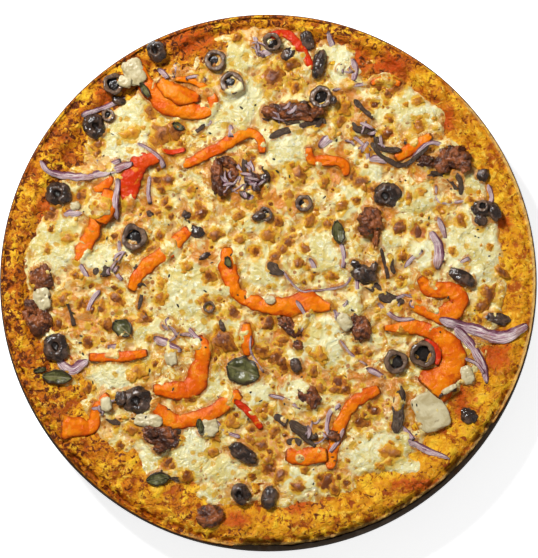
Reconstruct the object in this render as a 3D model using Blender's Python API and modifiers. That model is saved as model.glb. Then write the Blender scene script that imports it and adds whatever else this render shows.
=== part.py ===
"""A twelve inch deep dish pizza in its steel pan, metres, +Z up.

The pan stands on its flat bottom at z = 0, centred on the origin. The dough fills it to the
rim, sauce lies in the dough's shallow basin, and cheese lies on the sauce. Strips of pepper
and onion, olives, dried tomato, mushroom and leaves lie on the cheese, each its own solid.
"""
import math

import bmesh
import bpy
from mathutils import Matrix, Vector, noise
from mathutils.bvhtree import BVHTree

MM = 0.001
GAP = 0.3 * MM          # clearance between touching pieces
BASIN_CLEARANCE = 0.9 * MM  # between the sauce's edge and the facets of the dough round it
SIDES = 72              # facets round the pan and the dough

# The pan: pressed steel with a plain cut edge and a rounded foot
RIM_RADIUS = 153.5 * MM
FOOT_RADIUS = 144.0 * MM
PAN_DEPTH = 38.0 * MM
PAN_GAUGE = 1.2 * MM
FOOT_ROUND = 4.0 * MM

# Levels of the pizza above the table
DOUGH_BOTTOM = PAN_GAUGE + GAP
BASIN_FLOOR = 28.0 * MM
SAUCE_TOP = 31.4 * MM
CHEESE_LEVEL = 34.6 * MM
CRUST_INNER_LIP = 34.0 * MM
CRUST_CREST = 38.2 * MM
CRUST_SHOULDER = 36.0 * MM

# The photograph looks straight down: its pixels become places on the pizza
PHOTO_CENTRE_X = 268.3
PHOTO_CENTRE_Y = 283.0
PHOTO_RADIUS = 268.7
PIXEL = RIM_RADIUS / PHOTO_RADIUS

# Width of bare crust by compass angle, from east round by north, in photo pixels
CRUST_WIDTHS = {0: 34, 45: 30, 75: 22, 100: 17, 130: 36, 160: 34, 185: 27, 210: 38, 235: 58,
                265: 44, 300: 46, 330: 38}
# How far the dough has shrunk from the pan's wall, in millimetres
SHRINKAGE = {0: 0.5, 70: 0.4, 150: 0.5, 200: 1.0, 240: 1.3, 280: 2.4, 315: 3.0, 340: 1.2}
# How far sauce shows beyond the cheese, in millimetres
SAUCE_MARGIN = {0: 3.0, 50: 2.5, 80: 1.5, 130: 3.0, 180: 1.2, 235: 1.5, 270: 1.5, 330: 4.0}

# Pools of cheese that melted thick: centre and half widths in photo pixels
CHEESE_POOLS = {
    "upper_left": (125, 127, 28, 33), "upper_right": (413, 104, 19, 21), "left": (56, 238, 24, 28),
    "middle": (325, 341, 20, 24), "lower_right": (383, 459, 32, 22), "right": (472, 250, 28, 45),
    "lower_left": (152, 463, 14, 22), "lower_middle": (190, 455, 18, 28), "foot": (300, 480, 22, 18),
    "under_arch": (240, 105, 26, 30), "above_centre": (285, 145, 25, 20), "top": (230, 60, 25, 20),
    "left_centre": (185, 285, 25, 35), "centre": (270, 272, 25, 20), "right_centre": (320, 250, 25, 25),
    "left_low": (115, 377, 20, 12), "white": (256, 394, 14, 11), "east_upper": (415, 200, 20, 15),
    "east": (425, 250, 18, 18),
}
POOL_RISE = 1.4 * MM
ROLL_RISE = 1.0 * MM    # broad unevenness of the cheese
ROLL_SIZE = 17.0 * MM
LUMP_RISE = 0.8 * MM    # small lumps and blisters
LUMP_SIZE = 7.0 * MM
CHEESE_CELLS = 46

# Strips: width in millimetres at evenly spaced stations, then the route in photo pixels
PEPPERS = {
    "pepper_fold_upper_left": ((6.5, 6.5, 6, 5), [(141, 64), (150, 90), (172, 105), (204, 112),
                                                  (213, 99), (196, 82), (174, 79)]),
    "pepper_arc_top": ((4, 4.5, 4), [(268, 36), (286, 34), (300, 47), (314, 70)]),
    "pepper_arch": ((5, 6, 5), [(180, 166), (212, 152), (246, 133), (260, 140), (262, 154)]),
    "pepper_curl_left": ((6, 7, 6), [(160, 158), (138, 163), (126, 186), (130, 208)]),
    "pepper_tail_left": ((8, 7.5, 4), [(98, 198), (95, 225), (84, 247), (76, 262)]),
    "pepper_diagonal_left": ((6, 7, 6), [(189, 228), (168, 250), (142, 270), (130, 291)]),
    "pepper_hook_centre": ((6, 7, 9, 6), [(224, 245), (228, 278), (248, 300), (289, 306), (331, 306)]),
    "pepper_bar_centre": ((5, 6, 5), [(246, 322), (247, 340), (247, 357)]),
    "pepper_angle_top": ((4.5, 5, 4.5), [(309, 146), (311, 160), (328, 160), (343, 164), (346, 177)]),
    "pepper_loop_right": ((5, 5.5, 7, 5), [(419, 277), (432, 289), (454, 292), (460, 304), (441, 315),
                                           (411, 303)]),
    "pepper_hook_right": ((6, 7.5, 9, 13), [(383, 328), (420, 328), (447, 343), (456, 365), (428, 396)]),
    "pepper_arc_lower": ((5.5, 6.5, 5), [(380, 388), (355, 402), (339, 427), (330, 470)]),
    "pepper_bar_lower": ((8, 10, 9), [(285, 455), (306, 457), (328, 455)]),
    "pepper_hook_lower_left": ((5, 6, 9), [(108, 393), (97, 408), (90, 427), (61, 426)]),
    "pepper_arc_lower_left": ((6, 7.5, 6), [(150, 402), (175, 421), (210, 413), (241, 393)]),
    "pepper_crescent_lower_left": ((6, 8, 6), [(197, 336), (203, 358), (188, 389), (152, 390)]),
    "pepper_band_left": ((4.5, 5, 4.5), [(88, 357), (118, 357), (148, 353)]),
    "pepper_sliver_lower": ((4, 5, 4), [(234, 400), (252, 416), (262, 430)]),
}
PEPPER_THICK = 3.6 * MM

ONIONS = {
    "onion_arc_left": ((3, 4, 3), [(40, 160), (52, 173), (89, 176), (133, 163)]),
    "onion_wide_right": ((5, 6.5, 5), [(431, 231), (439, 249), (437, 270)]),
    "onion_arc_right": ((4, 6, 5), [(439, 319), (475, 330), (503, 337), (528, 325)]),
    "onion_band_right": ((6, 6, 3), [(455, 328), (470, 343), (483, 365), (487, 384)]),
}
ONION_THICK = 2.2 * MM

# Thin onion shreds that melted into the cheese are one with it
ONION_SHREDS = {
    "upper_left": (3.0, [(137, 143), (151, 150), (163, 164)]),
    "top": (4.0, [(353, 66), (356, 78), (352, 90)]),
    "upper": (3.0, [(352, 134), (366, 147), (369, 160)]),
    "upper_right": (3.2, [(411, 162), (423, 149), (449, 147)]),
    "left": (3.6, [(118, 178), (116, 200), (117, 220)]),
    "left_lower": (3.2, [(155, 338), (170, 346), (184, 352)]),
    "right": (3.0, [(378, 303), (396, 318), (415, 319)]),
    "middle": (3.4, [(340, 240), (344, 254), (343, 268)]),
    "lower": (3.5, [(345, 402), (330, 415), (327, 440)]),
    "lower_right": (4.2, [(380, 430), (396, 436), (410, 441)]),
    "low_left": (3.4, [(66, 365), (77, 371), (88, 360)]),
    "arc_middle": (2.6, [(279, 266), (298, 288), (343, 286), (353, 273)]),
}
SHRED_THICK = 2.6 * MM
SHRED_SUNK = 1.2 * MM

MUSHROOMS = {
    "mushroom_arc_upper": ((4, 4, 3), [(352, 128), (373, 132), (379, 147), (402, 150)]),
    "mushroom_slice_middle": ((6, 7, 6), [(289, 421), (303, 430), (318, 438)]),
    "mushroom_slice_lower_right": ((7, 8, 7), [(402, 388), (398, 411), (396, 434)]),
}
MUSHROOM_THICK = 3.8 * MM

# Olive rings: centre and outer radius in photo pixels
OLIVE_RINGS = {
    "olive_ring_upper_left": (114, 84, 11), "olive_ring_top": (232, 83, 12),
    "olive_ring_upper": (321, 97, 11.5), "olive_ring_left": (134, 237, 13),
    "olive_ring_middle": (304, 203, 8.5), "olive_ring_right": (423, 354, 13.5),
    "olive_ring_right_inner": (396, 362, 12),
}
OLIVE_WALL = 0.44       # wall of a ring as a part of its radius
OLIVE_RING_THICK = 5.2 * MM

# Olive halves: centre, length and width in photo pixels, and the angle of the length in degrees
OLIVE_HALVES = {
    "olive_half_upper_left": (157, 52, 21, 17, 60), "olive_half_left_top": (94, 126, 25, 21, 60),
    "olive_half_left": (58, 193, 25, 22, 0), "olive_half_upper_right": (388, 194, 26, 24, 0),
    "olive_half_right_edge": (484, 208, 26, 15, 0), "olive_half_east": (462, 277, 28, 14, 28),
    "olive_half_centre_right": (364, 274, 25, 17, 20), "olive_half_low_middle": (243, 453, 30, 15, 30),
    "olive_half_foot_left": (241, 494, 21, 18, 50), "olive_half_foot_right": (269, 498, 24, 14, 100),
    "olive_half_west_low": (56, 347, 28, 25, 90), "olive_half_south_west": (137, 400, 28, 27, 0),
    "olive_half_top": (319, 64, 28, 12, 105),
}
OLIVE_THICK = 6.0 * MM

# Dried tomatoes and other lumps: centre, length and width in photo pixels, angle, height in mm
TOMATOES = {
    "tomato_upper": (292, 112, 46, 16, 5, 4.5), "tomato_upper_right": (455, 157, 30, 20, 10, 5.0),
    "tomato_centre_right": (371, 219, 24, 21, 90, 5.5), "tomato_west": (37, 318, 30, 25, 70, 4.5),
    "tomato_lower_left": (161, 437, 35, 18, 5, 4.5), "tomato_centre": (360, 328, 25, 18, 80, 4.5),
    "tomato_top_middle": (217, 176, 34, 10, 90, 5.0), "tomato_foot": (209, 516, 25, 21, 0, 5.0),
}
CHUNKS = {
    "garlic_chunk_lower_right": (433, 417, 30, 33, 60, 4.0),
}

# Leaves: centre, length and width in photo pixels, and the angle of the length in degrees
LEAVES = {
    "leaf_centre": (243, 371, 33, 27, 20), "leaf_left": (57, 377, 28, 13, 5),
}
LEAF_THICK = 0.9 * MM
LEAF_WAVE = 0.8 * MM

COLOURS = {             # base colour, roughness, metallic
    "pan": ((0.045, 0.036, 0.030), 0.5, 0.8),
    "crust": ((0.62, 0.30, 0.06), 0.8, 0.0),
    "sauce": ((0.45, 0.08, 0.02), 0.4, 0.0),
    "cheese": ((0.80, 0.68, 0.36), 0.4, 0.0),
    "pepper": ((0.85, 0.22, 0.02), 0.3, 0.0),
    "onion": ((0.55, 0.36, 0.44), 0.4, 0.0),
    "olive": ((0.045, 0.025, 0.020), 0.3, 0.0),
    "tomato": ((0.22, 0.04, 0.015), 0.35, 0.0),
    "mushroom": ((0.13, 0.085, 0.06), 0.6, 0.0),
    "garlic": ((0.72, 0.62, 0.38), 0.5, 0.0),
    "leaf": ((0.07, 0.08, 0.02), 0.6, 0.0),
}


def clear_scene():
    for old in list(bpy.data.objects):
        bpy.data.objects.remove(old, do_unlink=True)


def make_materials():
    made = {}
    for name, (colour, roughness, metallic) in COLOURS.items():
        material = bpy.data.materials.new(name)
        material.use_nodes = True
        shader = material.node_tree.nodes["Principled BSDF"]
        shader.inputs["Base Color"].default_value = (*colour, 1.0)
        shader.inputs["Roughness"].default_value = roughness
        shader.inputs["Metallic"].default_value = metallic
        made[name] = material
    return made


def place(px, py):
    """A photo pixel as a place on the pizza, seen from above."""
    return Vector(((px - PHOTO_CENTRE_X) * PIXEL, (PHOTO_CENTRE_Y - py) * PIXEL, 0.0))


def round_value(values, angle):
    """A value given at some compass angles, eased between them, at any angle in degrees."""
    angle %= 360.0
    stations = sorted(values)
    following = next((s for s in stations if s > angle), stations[0] + 360)
    before = stations[stations.index(following % 360) - 1]
    span = (following - before) % 360
    part = ((angle - before) % 360) / span
    eased = part * part * (3 - 2 * part)
    return values[before] * (1 - eased) + values[following % 360] * eased


def ripple(angle, size, seed):
    """An uneven edge: a smooth random offset that closes on itself round the pizza."""
    turn = math.radians(angle)
    return size * noise.noise(Vector((4 * math.cos(turn), 4 * math.sin(turn), seed)))


def wall_radius(z):
    """Inside radius of the pan's wall at a height."""
    slope = (RIM_RADIUS - FOOT_RADIUS) / PAN_DEPTH
    return FOOT_RADIUS + slope * z - PAN_GAUGE


def dough_radius(angle):
    """Outer radius of the crust at the rim's level."""
    return wall_radius(CRUST_SHOULDER) - round_value(SHRINKAGE, angle) * MM - GAP


def cheese_radius(angle):
    return dough_radius(angle) - round_value(CRUST_WIDTHS, angle) * PIXEL + ripple(angle, 3 * MM, 1.5)


def basin_radius(angle):
    return cheese_radius(angle) + round_value(SAUCE_MARGIN, angle) * MM


def crust_top(part):
    """Height of the bare crust: part is 0 at its outer edge and 1 at the basin."""
    crest_at = 0.38
    if part < crest_at:
        return CRUST_SHOULDER + (CRUST_CREST - CRUST_SHOULDER) * math.sin(math.pi / 2 * part / crest_at)
    fall = (part - crest_at) / (1 - crest_at)
    return CRUST_INNER_LIP + (CRUST_CREST - CRUST_INNER_LIP) * (1 + math.cos(math.pi * fall)) / 2


def cheese_top(x, y):
    height = CHEESE_LEVEL
    spot = Vector((x, y, 0.0))
    height += ROLL_RISE * noise.noise(spot / ROLL_SIZE)
    height += LUMP_RISE * noise.noise(spot / LUMP_SIZE + Vector((0, 0, 7.3)))
    for px, py, half_wide, half_tall in CHEESE_POOLS.values():
        middle = place(px, py)
        reach = ((x - middle.x) / (half_wide * PIXEL)) ** 2 + ((y - middle.y) / (half_tall * PIXEL)) ** 2
        height += POOL_RISE * math.exp(-reach)
    return height


def new_object(name, mesh, material):
    made = bpy.data.objects.new(name, mesh)
    mesh.materials.clear()
    mesh.materials.append(material)
    collection.objects.link(made)
    return made


def evaluated_mesh(source):
    """The finished mesh of an object with modifiers or of a curve, as a mesh of its own."""
    bpy.context.view_layer.update()
    result = source.evaluated_get(bpy.context.evaluated_depsgraph_get())
    return bpy.data.meshes.new_from_object(result)


def turned(name, profile, material):
    """A turned body: the profile, from the axis over the top and back to the axis, is screwed."""
    mesh = bpy.data.meshes.new(name)
    mesh.from_pydata([(x, 0.0, z) for x, z in profile], [(i, i + 1) for i in range(len(profile) - 1)], [])
    body = new_object(name, mesh, material)
    screw = body.modifiers.new("turn", "SCREW")
    screw.steps = SIDES
    screw.render_steps = SIDES
    screw.use_merge_vertices = True
    screw.merge_threshold = 0.00005
    turned_mesh = evaluated_mesh(body)
    bpy.data.objects.remove(body)
    turned_body = new_object(name, turned_mesh, material)
    turned_mesh.shade_smooth()
    return turned_body


def build_pan(material):
    inner_foot = wall_radius(0) - FOOT_ROUND / 2
    profile = [
        (0.0, PAN_GAUGE),
        (inner_foot - FOOT_ROUND / 2, PAN_GAUGE),
        (inner_foot + FOOT_ROUND / 4, PAN_GAUGE + FOOT_ROUND / 4),
        (wall_radius(FOOT_ROUND), FOOT_ROUND + PAN_GAUGE),
        (wall_radius(PAN_DEPTH), PAN_DEPTH),
        (RIM_RADIUS, PAN_DEPTH),
        (FOOT_RADIUS + 0.9 * MM, FOOT_ROUND),
        (FOOT_RADIUS - FOOT_ROUND / 4, FOOT_ROUND / 4),
        (FOOT_RADIUS - FOOT_ROUND, 0.0),
        (0.0, 0.0),
    ]
    pan = turned("pan", profile, material)
    pan.data.set_sharp_from_angle(angle=math.radians(40))
    return pan


def build_crust(material):
    """The dough: turned once, then each point moved to the uneven edge at its own angle."""
    parts = (1.0, 0.82, 0.6, 0.38, 0.18, 0.05)
    marks = [("axis", BASIN_FLOOR), ("basin", BASIN_FLOOR)]
    marks += [(part, 0.0) for part in parts]
    marks += [("wall", CRUST_SHOULDER * 0.82), ("wall", CRUST_SHOULDER * 0.35),
              ("foot", DOUGH_BOTTOM), ("axis", DOUGH_BOTTOM)]
    draft = [(0.001 + 0.001 * i, 0.0) for i in range(len(marks))]
    draft[0] = (0.0, 0.001)
    draft[-1] = (0.0, -0.001)
    crust = turned("crust", draft, material)
    for vertex in crust.data.vertices:
        spread = math.hypot(vertex.co.x, vertex.co.y)
        if spread < 0.0005:
            vertex.co = (0, 0, BASIN_FLOOR if vertex.co.z > 0 else DOUGH_BOTTOM)
            continue
        kind, level = marks[round(spread / 0.001) - 1]
        angle = math.degrees(math.atan2(vertex.co.y, vertex.co.x))
        outer = dough_radius(angle)
        inner = basin_radius(angle) + BASIN_CLEARANCE
        if kind == "basin":
            radius = inner
        elif kind == "wall":
            radius = min(wall_radius(level) - GAP, outer)
        elif kind == "foot":
            radius = wall_radius(0) - FOOT_ROUND - GAP
        else:
            radius = outer + (inner - outer) * kind
            level = crust_top(kind)
            level += 0.9 * MM * noise.noise(Vector((vertex.co.x, vertex.co.y, 0)) / spread * 5)
            level += 0.7 * MM * noise.noise(Vector((radius * math.cos(math.radians(angle)),
                                                    radius * math.sin(math.radians(angle)), 0)) / (9 * MM))
        vertex.co = (radius * math.cos(math.radians(angle)), radius * math.sin(math.radians(angle)), level)
    return crust


def layer(name, cells, edge, bottom, top, material):
    """A round layer: a square grid drawn out into a disc, given an uneven edge, top and flat base."""
    shape = bmesh.new()
    bmesh.ops.create_grid(shape, x_segments=cells, y_segments=cells, size=1.0)
    for vertex in shape.verts:
        x, y = vertex.co.x, vertex.co.y
        u = x * math.sqrt(1 - y * y / 2)
        v = y * math.sqrt(1 - x * x / 2)
        radius = edge(math.degrees(math.atan2(v, u)))
        vertex.co = (u * radius, v * radius, 0.0)
    raised = bmesh.ops.extrude_face_region(shape, geom=shape.faces[:])
    upper = {item for item in raised["geom"] if isinstance(item, bmesh.types.BMVert)}
    for vertex in shape.verts:
        vertex.co.z = top(vertex.co.x, vertex.co.y) if vertex in upper else bottom
    base = [face for face in shape.faces if all(vertex not in upper for vertex in face.verts)]
    bmesh.ops.dissolve_faces(shape, faces=base)
    bmesh.ops.recalc_face_normals(shape, faces=shape.faces[:])
    mesh = bpy.data.meshes.new(name)
    shape.to_mesh(mesh)
    shape.free()
    mesh.shade_smooth()
    return new_object(name, mesh, material)


class Ground:
    """What the next topping lies on: the cheese, the crust and the toppings already laid."""

    def __init__(self):
        self.trees = []

    def add(self, piece):
        shape = bmesh.new()
        shape.from_mesh(piece.data)
        xs = [vertex.co.x for vertex in shape.verts]
        ys = [vertex.co.y for vertex in shape.verts]
        self.trees.append((min(xs), max(xs), min(ys), max(ys), BVHTree.FromBMesh(shape)))
        shape.free()

    def height(self, x, y):
        best = CRUST_SHOULDER
        found = False
        for low_x, high_x, low_y, high_y, tree in self.trees:
            if low_x <= x <= high_x and low_y <= y <= high_y:
                hit = tree.ray_cast(Vector((x, y, 0.2)), Vector((0, 0, -1)))[0]
                if hit is not None:
                    best = max(best, hit.z) if found else hit.z
                    found = True
        return best


def smooth_route(points, spacing):
    """Evenly spaced places along a smooth curve through the given places."""
    ends = [points[0] * 2 - points[1]] + points + [points[-1] * 2 - points[-2]]
    fine = []
    for a, b, c, d in zip(ends, ends[1:], ends[2:], ends[3:]):
        for step in range(12):
            t = step / 12
            fine.append(0.5 * ((2 * b) + (c - a) * t + (2 * a - 5 * b + 4 * c - d) * t * t
                               + (3 * b - a - 3 * c + d) * t ** 3))
    fine.append(points[-1])
    lengths = [0.0]
    for a, b in zip(fine, fine[1:]):
        lengths.append(lengths[-1] + (b - a).length)
    count = max(3, round(lengths[-1] / spacing) + 1)
    route = []
    for number in range(count):
        wanted = lengths[-1] * number / (count - 1)
        index = max(i for i in range(len(lengths)) if lengths[i] <= wanted + 1e-9)
        index = min(index, len(fine) - 2)
        part = (wanted - lengths[index]) / max(lengths[index + 1] - lengths[index], 1e-9)
        route.append(fine[index].lerp(fine[index + 1], min(part, 1.0)))
    return route


def width_at(widths, part):
    """A width read between evenly spaced stations."""
    where = part * (len(widths) - 1)
    index = min(int(where), len(widths) - 2)
    return widths[index] + (widths[index + 1] - widths[index]) * (where - index)


def section_curve(name, outline):
    """The cut end of a strip, one unit wide and one unit thick, as a closed curve."""
    data = bpy.data.curves.new(name, "CURVE")
    data.dimensions = "2D"
    spline = data.splines.new("POLY")
    spline.points.add(len(outline) - 1)
    for point, (x, y) in zip(spline.points, outline):
        point.co = (x, y, 0, 1)
    spline.use_cyclic_u = True
    made = bpy.data.objects.new(name, data)
    made.hide_render = True
    made.display_type = "WIRE"
    guides.objects.link(made)
    return made


def strip(name, route_pixels, widths, thick, material, spacing=7 * MM, sunk=None):
    """A strip laid along a route: each station rests on the highest ground under its stretch."""
    route = smooth_route([place(*pixel) for pixel in route_pixels], spacing)
    last = len(route) - 1
    wide = [width_at(widths, i / last) * MM for i in range(last + 1)]
    bases = []
    for i, here in enumerate(route):
        tops = []
        for j in (i - 1, i):
            if 0 <= j < last:
                along = route[j + 1] - route[j]
                across = Vector((-along.y, along.x, 0)).normalized()
                for step in range(7):
                    for side in (-0.5, -0.25, 0, 0.25, 0.5):
                        reach = max(wide[j], wide[j + 1]) + 2 * GAP
                        spot = route[j] + along * step / 6 + across * side * reach
                        tops.append(ground.height(spot.x, spot.y))
        if sunk is None:
            bases.append(max(tops) + GAP)
        else:
            bases.append(sum(tops) / len(tops) - sunk)
    typical = sum(wide) / len(wide)
    tall = thick / typical
    outline = [(-0.5, 0.0), (-0.42, tall * 0.75), (0.0, tall), (0.42, tall * 0.75), (0.5, 0.0)]
    section = section_curve(name + "_section", outline)
    data = bpy.data.curves.new(name, "CURVE")
    data.dimensions = "3D"
    data.twist_mode = "Z_UP"
    data.bevel_mode = "OBJECT"
    data.bevel_object = section
    data.use_fill_caps = True
    spline = data.splines.new("POLY")
    spline.points.add(last)
    for i, point in enumerate(spline.points):
        point.co = (route[i].x, route[i].y, bases[i], 1)
        point.radius = wide[i] * (0.7 if i in (0, last) else 1.0)
    rod = bpy.data.objects.new(name, data)
    guides.objects.link(rod)
    mesh = evaluated_mesh(rod)
    bpy.data.objects.remove(rod)
    bpy.data.objects.remove(section)
    shape = bmesh.new()
    shape.from_mesh(mesh)
    bmesh.ops.remove_doubles(shape, verts=shape.verts[:], dist=0.00001)
    bmesh.ops.recalc_face_normals(shape, faces=shape.faces[:])
    shape.to_mesh(mesh)
    shape.free()
    mesh.shade_smooth()
    return new_object(name, mesh, material)


def settle(shape, middle, angle):
    """Turn a piece, tilt it to the ground under it and rest it there, clear of every high spot."""
    half_long = max(abs(vertex.co.x) for vertex in shape.verts) + 2 * GAP
    half_wide = max(abs(vertex.co.y) for vertex in shape.verts) + 2 * GAP
    turn = Matrix.Rotation(math.radians(-angle), 3, "Z")
    across = 12
    heights = []
    for i in range(across + 1):
        for j in range(across + 1):
            x = 2 * i / across - 1
            y = 2 * j / across - 1
            if x * x + y * y <= 1.05:
                spot = middle + turn @ Vector((x * half_long, y * half_wide, 0))
                heights.append((x * half_long, y * half_wide, ground.height(spot.x, spot.y)))
    mean = sum(z for _, _, z in heights) / len(heights)
    slope_x = sum(x * (z - mean) for x, _, z in heights) / sum(x * x for x, _, _ in heights)
    slope_y = sum(y * (z - mean) for _, y, z in heights) / sum(y * y for _, y, _ in heights)
    lift = max(z - mean - slope_x * x - slope_y * y for x, y, z in heights)
    for vertex in shape.verts:
        x, y, z = vertex.co
        spot = middle + turn @ Vector((x, y, 0))
        vertex.co = (spot.x, spot.y, z + mean + slope_x * x + slope_y * y + lift + GAP)


def finish_piece(name, shape, material):
    bmesh.ops.recalc_face_normals(shape, faces=shape.faces[:])
    if shape.calc_volume(signed=True) < 0:
        bmesh.ops.reverse_faces(shape, faces=shape.faces[:])
    mesh = bpy.data.meshes.new(name)
    shape.to_mesh(mesh)
    shape.free()
    mesh.shade_smooth()
    return new_object(name, mesh, material)


def olive_ring(name, px, py, outer_pixels, material):
    """A slice of a pitted olive: a ring that lies flat."""
    outer = outer_pixels * PIXEL
    wall = outer * OLIVE_WALL / 2
    bpy.ops.mesh.primitive_torus_add(major_segments=12, minor_segments=6, align="WORLD",
                                     major_radius=outer - wall, minor_radius=wall)
    draft = bpy.context.object
    shape = bmesh.new()
    shape.from_mesh(draft.data)
    bpy.data.objects.remove(draft)
    for vertex in shape.verts:
        vertex.co.z = (vertex.co.z / wall * 0.5 + 0.43) * OLIVE_RING_THICK
    settle(shape, place(px, py), 0.0)
    return finish_piece(name, shape, material)


def lump(name, px, py, long_pixels, wide_pixels, angle, height, material, roughness, seed):
    """A rounded piece cut flat below: an olive half, a curled tomato, a chunk."""
    length, width = long_pixels * PIXEL / 2, wide_pixels * PIXEL / 2
    shape = bmesh.new()
    bmesh.ops.create_uvsphere(shape, u_segments=10, v_segments=8, radius=1.0)
    bmesh.ops.bisect_plane(shape, geom=shape.verts[:] + shape.edges[:] + shape.faces[:], dist=0.0001,
                           plane_co=(0, 0, -0.35), plane_no=(0, 0, -1), clear_outer=True)
    rim = [edge for edge in shape.edges if edge.is_boundary]
    bmesh.ops.contextual_create(shape, geom=rim)
    for vertex in shape.verts:
        bulge = 1 + roughness * noise.noise(vertex.co * 1.3 + Vector((0, 0, seed)))
        vertex.co = Vector((vertex.co.x * length * bulge, vertex.co.y * width * bulge,
                            max(0.0, (vertex.co.z + 0.35) / 1.35 * height * bulge)))
    settle(shape, place(px, py), angle)
    return finish_piece(name, shape, material)


def leaf(name, px, py, long_pixels, wide_pixels, angle, material):
    """A thin wavy leaf, pointed at both ends, both faces split into triangles alike."""
    length, width = long_pixels * PIXEL / 2, wide_pixels * PIXEL / 2
    shape = bmesh.new()
    bmesh.ops.create_grid(shape, x_segments=6, y_segments=3, size=1.0)
    for vertex in shape.verts:
        x, y = vertex.co.x, vertex.co.y
        blade = math.cos(math.pi / 2 * abs(x) ** 1.6) * 0.92 + 0.08
        vertex.co = (x * length, y * width * blade, LEAF_WAVE * (1 + math.sin(3.1 * x + 2 * y)))
    bmesh.ops.triangulate(shape, faces=shape.faces[:])
    raised = bmesh.ops.extrude_face_region(shape, geom=shape.faces[:])
    for item in raised["geom"]:
        if isinstance(item, bmesh.types.BMVert):
            item.co.z += LEAF_THICK
    settle(shape, place(px, py), angle)
    return finish_piece(name, shape, material)


def melt_in(cheese, shreds):
    """Join the shreds that sank into the cheese with it, as one body."""
    together = bpy.data.collections.new("melted_in")
    bpy.context.scene.collection.children.link(together)
    for shred in shreds:
        together.objects.link(shred)
    union = cheese.modifiers.new("melt", "BOOLEAN")
    union.operation = "UNION"
    union.operand_type = "COLLECTION"
    union.collection = together
    union.solver = "EXACT"
    joined = evaluated_mesh(cheese)
    cheese.modifiers.clear()
    cheese.data = joined
    for shred in shreds:
        bpy.data.objects.remove(shred)
    bpy.data.collections.remove(together)


clear_scene()
collection = bpy.data.collections.new("deep_dish_pizza")
bpy.context.scene.collection.children.link(collection)
guides = bpy.data.collections.new("guides")
bpy.context.scene.collection.children.link(guides)
looks = make_materials()

build_pan(looks["pan"])
crust = build_crust(looks["crust"])
layer("sauce", 14, basin_radius, BASIN_FLOOR + GAP, lambda x, y: SAUCE_TOP, looks["sauce"])
cheese = layer("cheese", CHEESE_CELLS, cheese_radius, SAUCE_TOP + GAP, cheese_top, looks["cheese"])

ground = Ground()
ground.add(cheese)
melted = [strip("shred_" + name, route, (width, width), SHRED_THICK, looks["onion"], sunk=SHRED_SUNK)
          for name, (width, route) in ONION_SHREDS.items()]
melt_in(cheese, melted)

ground = Ground()
ground.add(crust)
ground.add(cheese)
for name, (widths, route) in PEPPERS.items():
    ground.add(strip(name, route, widths, PEPPER_THICK, looks["pepper"]))
for name, (widths, route) in MUSHROOMS.items():
    ground.add(strip(name, route, widths, MUSHROOM_THICK, looks["mushroom"]))
for number, (name, (px, py, long, wide, angle, tall)) in enumerate(TOMATOES.items()):
    ground.add(lump(name, px, py, long, wide, angle, tall * MM, looks["tomato"], 0.5, number * 3.7))
for number, (name, (px, py, long, wide, angle, tall)) in enumerate(CHUNKS.items()):
    ground.add(lump(name, px, py, long, wide, angle, tall * MM, looks["garlic"], 0.3, number * 2.9))
for name, (px, py, long, wide, angle) in OLIVE_HALVES.items():
    ground.add(lump(name, px, py, long, wide, angle, OLIVE_THICK, looks["olive"], 0.1, 1.0))
for name, (px, py, outer) in OLIVE_RINGS.items():
    ground.add(olive_ring(name, px, py, outer, looks["olive"]))
for name, (px, py, long, wide, angle) in LEAVES.items():
    ground.add(leaf(name, px, py, long, wide, angle, looks["leaf"]))
for name, (widths, route) in ONIONS.items():
    ground.add(strip(name, route, widths, ONION_THICK, looks["onion"]))
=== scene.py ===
import math

import bmesh
import bpy
import numpy as np
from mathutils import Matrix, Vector
from mathutils.bvhtree import BVHTree


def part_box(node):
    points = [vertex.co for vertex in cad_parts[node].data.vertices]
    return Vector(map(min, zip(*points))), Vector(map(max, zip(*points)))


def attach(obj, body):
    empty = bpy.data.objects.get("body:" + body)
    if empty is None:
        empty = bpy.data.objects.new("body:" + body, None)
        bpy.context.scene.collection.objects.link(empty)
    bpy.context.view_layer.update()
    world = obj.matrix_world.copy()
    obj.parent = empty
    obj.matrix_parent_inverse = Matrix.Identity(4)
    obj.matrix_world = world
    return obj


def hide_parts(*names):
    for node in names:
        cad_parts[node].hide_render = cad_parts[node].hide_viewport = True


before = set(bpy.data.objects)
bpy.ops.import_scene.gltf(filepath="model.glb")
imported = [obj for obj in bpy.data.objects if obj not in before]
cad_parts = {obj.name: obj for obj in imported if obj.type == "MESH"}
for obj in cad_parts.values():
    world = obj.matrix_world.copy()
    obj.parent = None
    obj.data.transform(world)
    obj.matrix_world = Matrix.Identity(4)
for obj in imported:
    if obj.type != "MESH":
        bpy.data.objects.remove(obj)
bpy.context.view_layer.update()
bpy.ops.object.select_all(action="DESELECT")

# The view: the photograph looks straight down on the pizza, so the camera hangs above it with
# a long lens. One photo pixel is worked out from the pan's rim, which is a circle there.
MM = 0.001
PHOTO_WIDTH = 538
PHOTO_HEIGHT = 558
PHOTO_CENTRE_X = 268.3
PHOTO_CENTRE_Y = 283.0
PHOTO_RADIUS = 268.7
CAMERA_ABOVE_RIM = 1.9
pan_low, pan_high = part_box("pan")
RIM_RADIUS = (pan_high.x - pan_low.x) / 2
RIM_LEVEL = pan_high.z
PIXEL = RIM_RADIUS / PHOTO_RADIUS


def place(px, py):
    """A photo pixel as a place on the pizza, seen from above."""
    return Vector(((px - PHOTO_CENTRE_X) * PIXEL, (PHOTO_CENTRE_Y - py) * PIXEL, 0.0))


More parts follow.
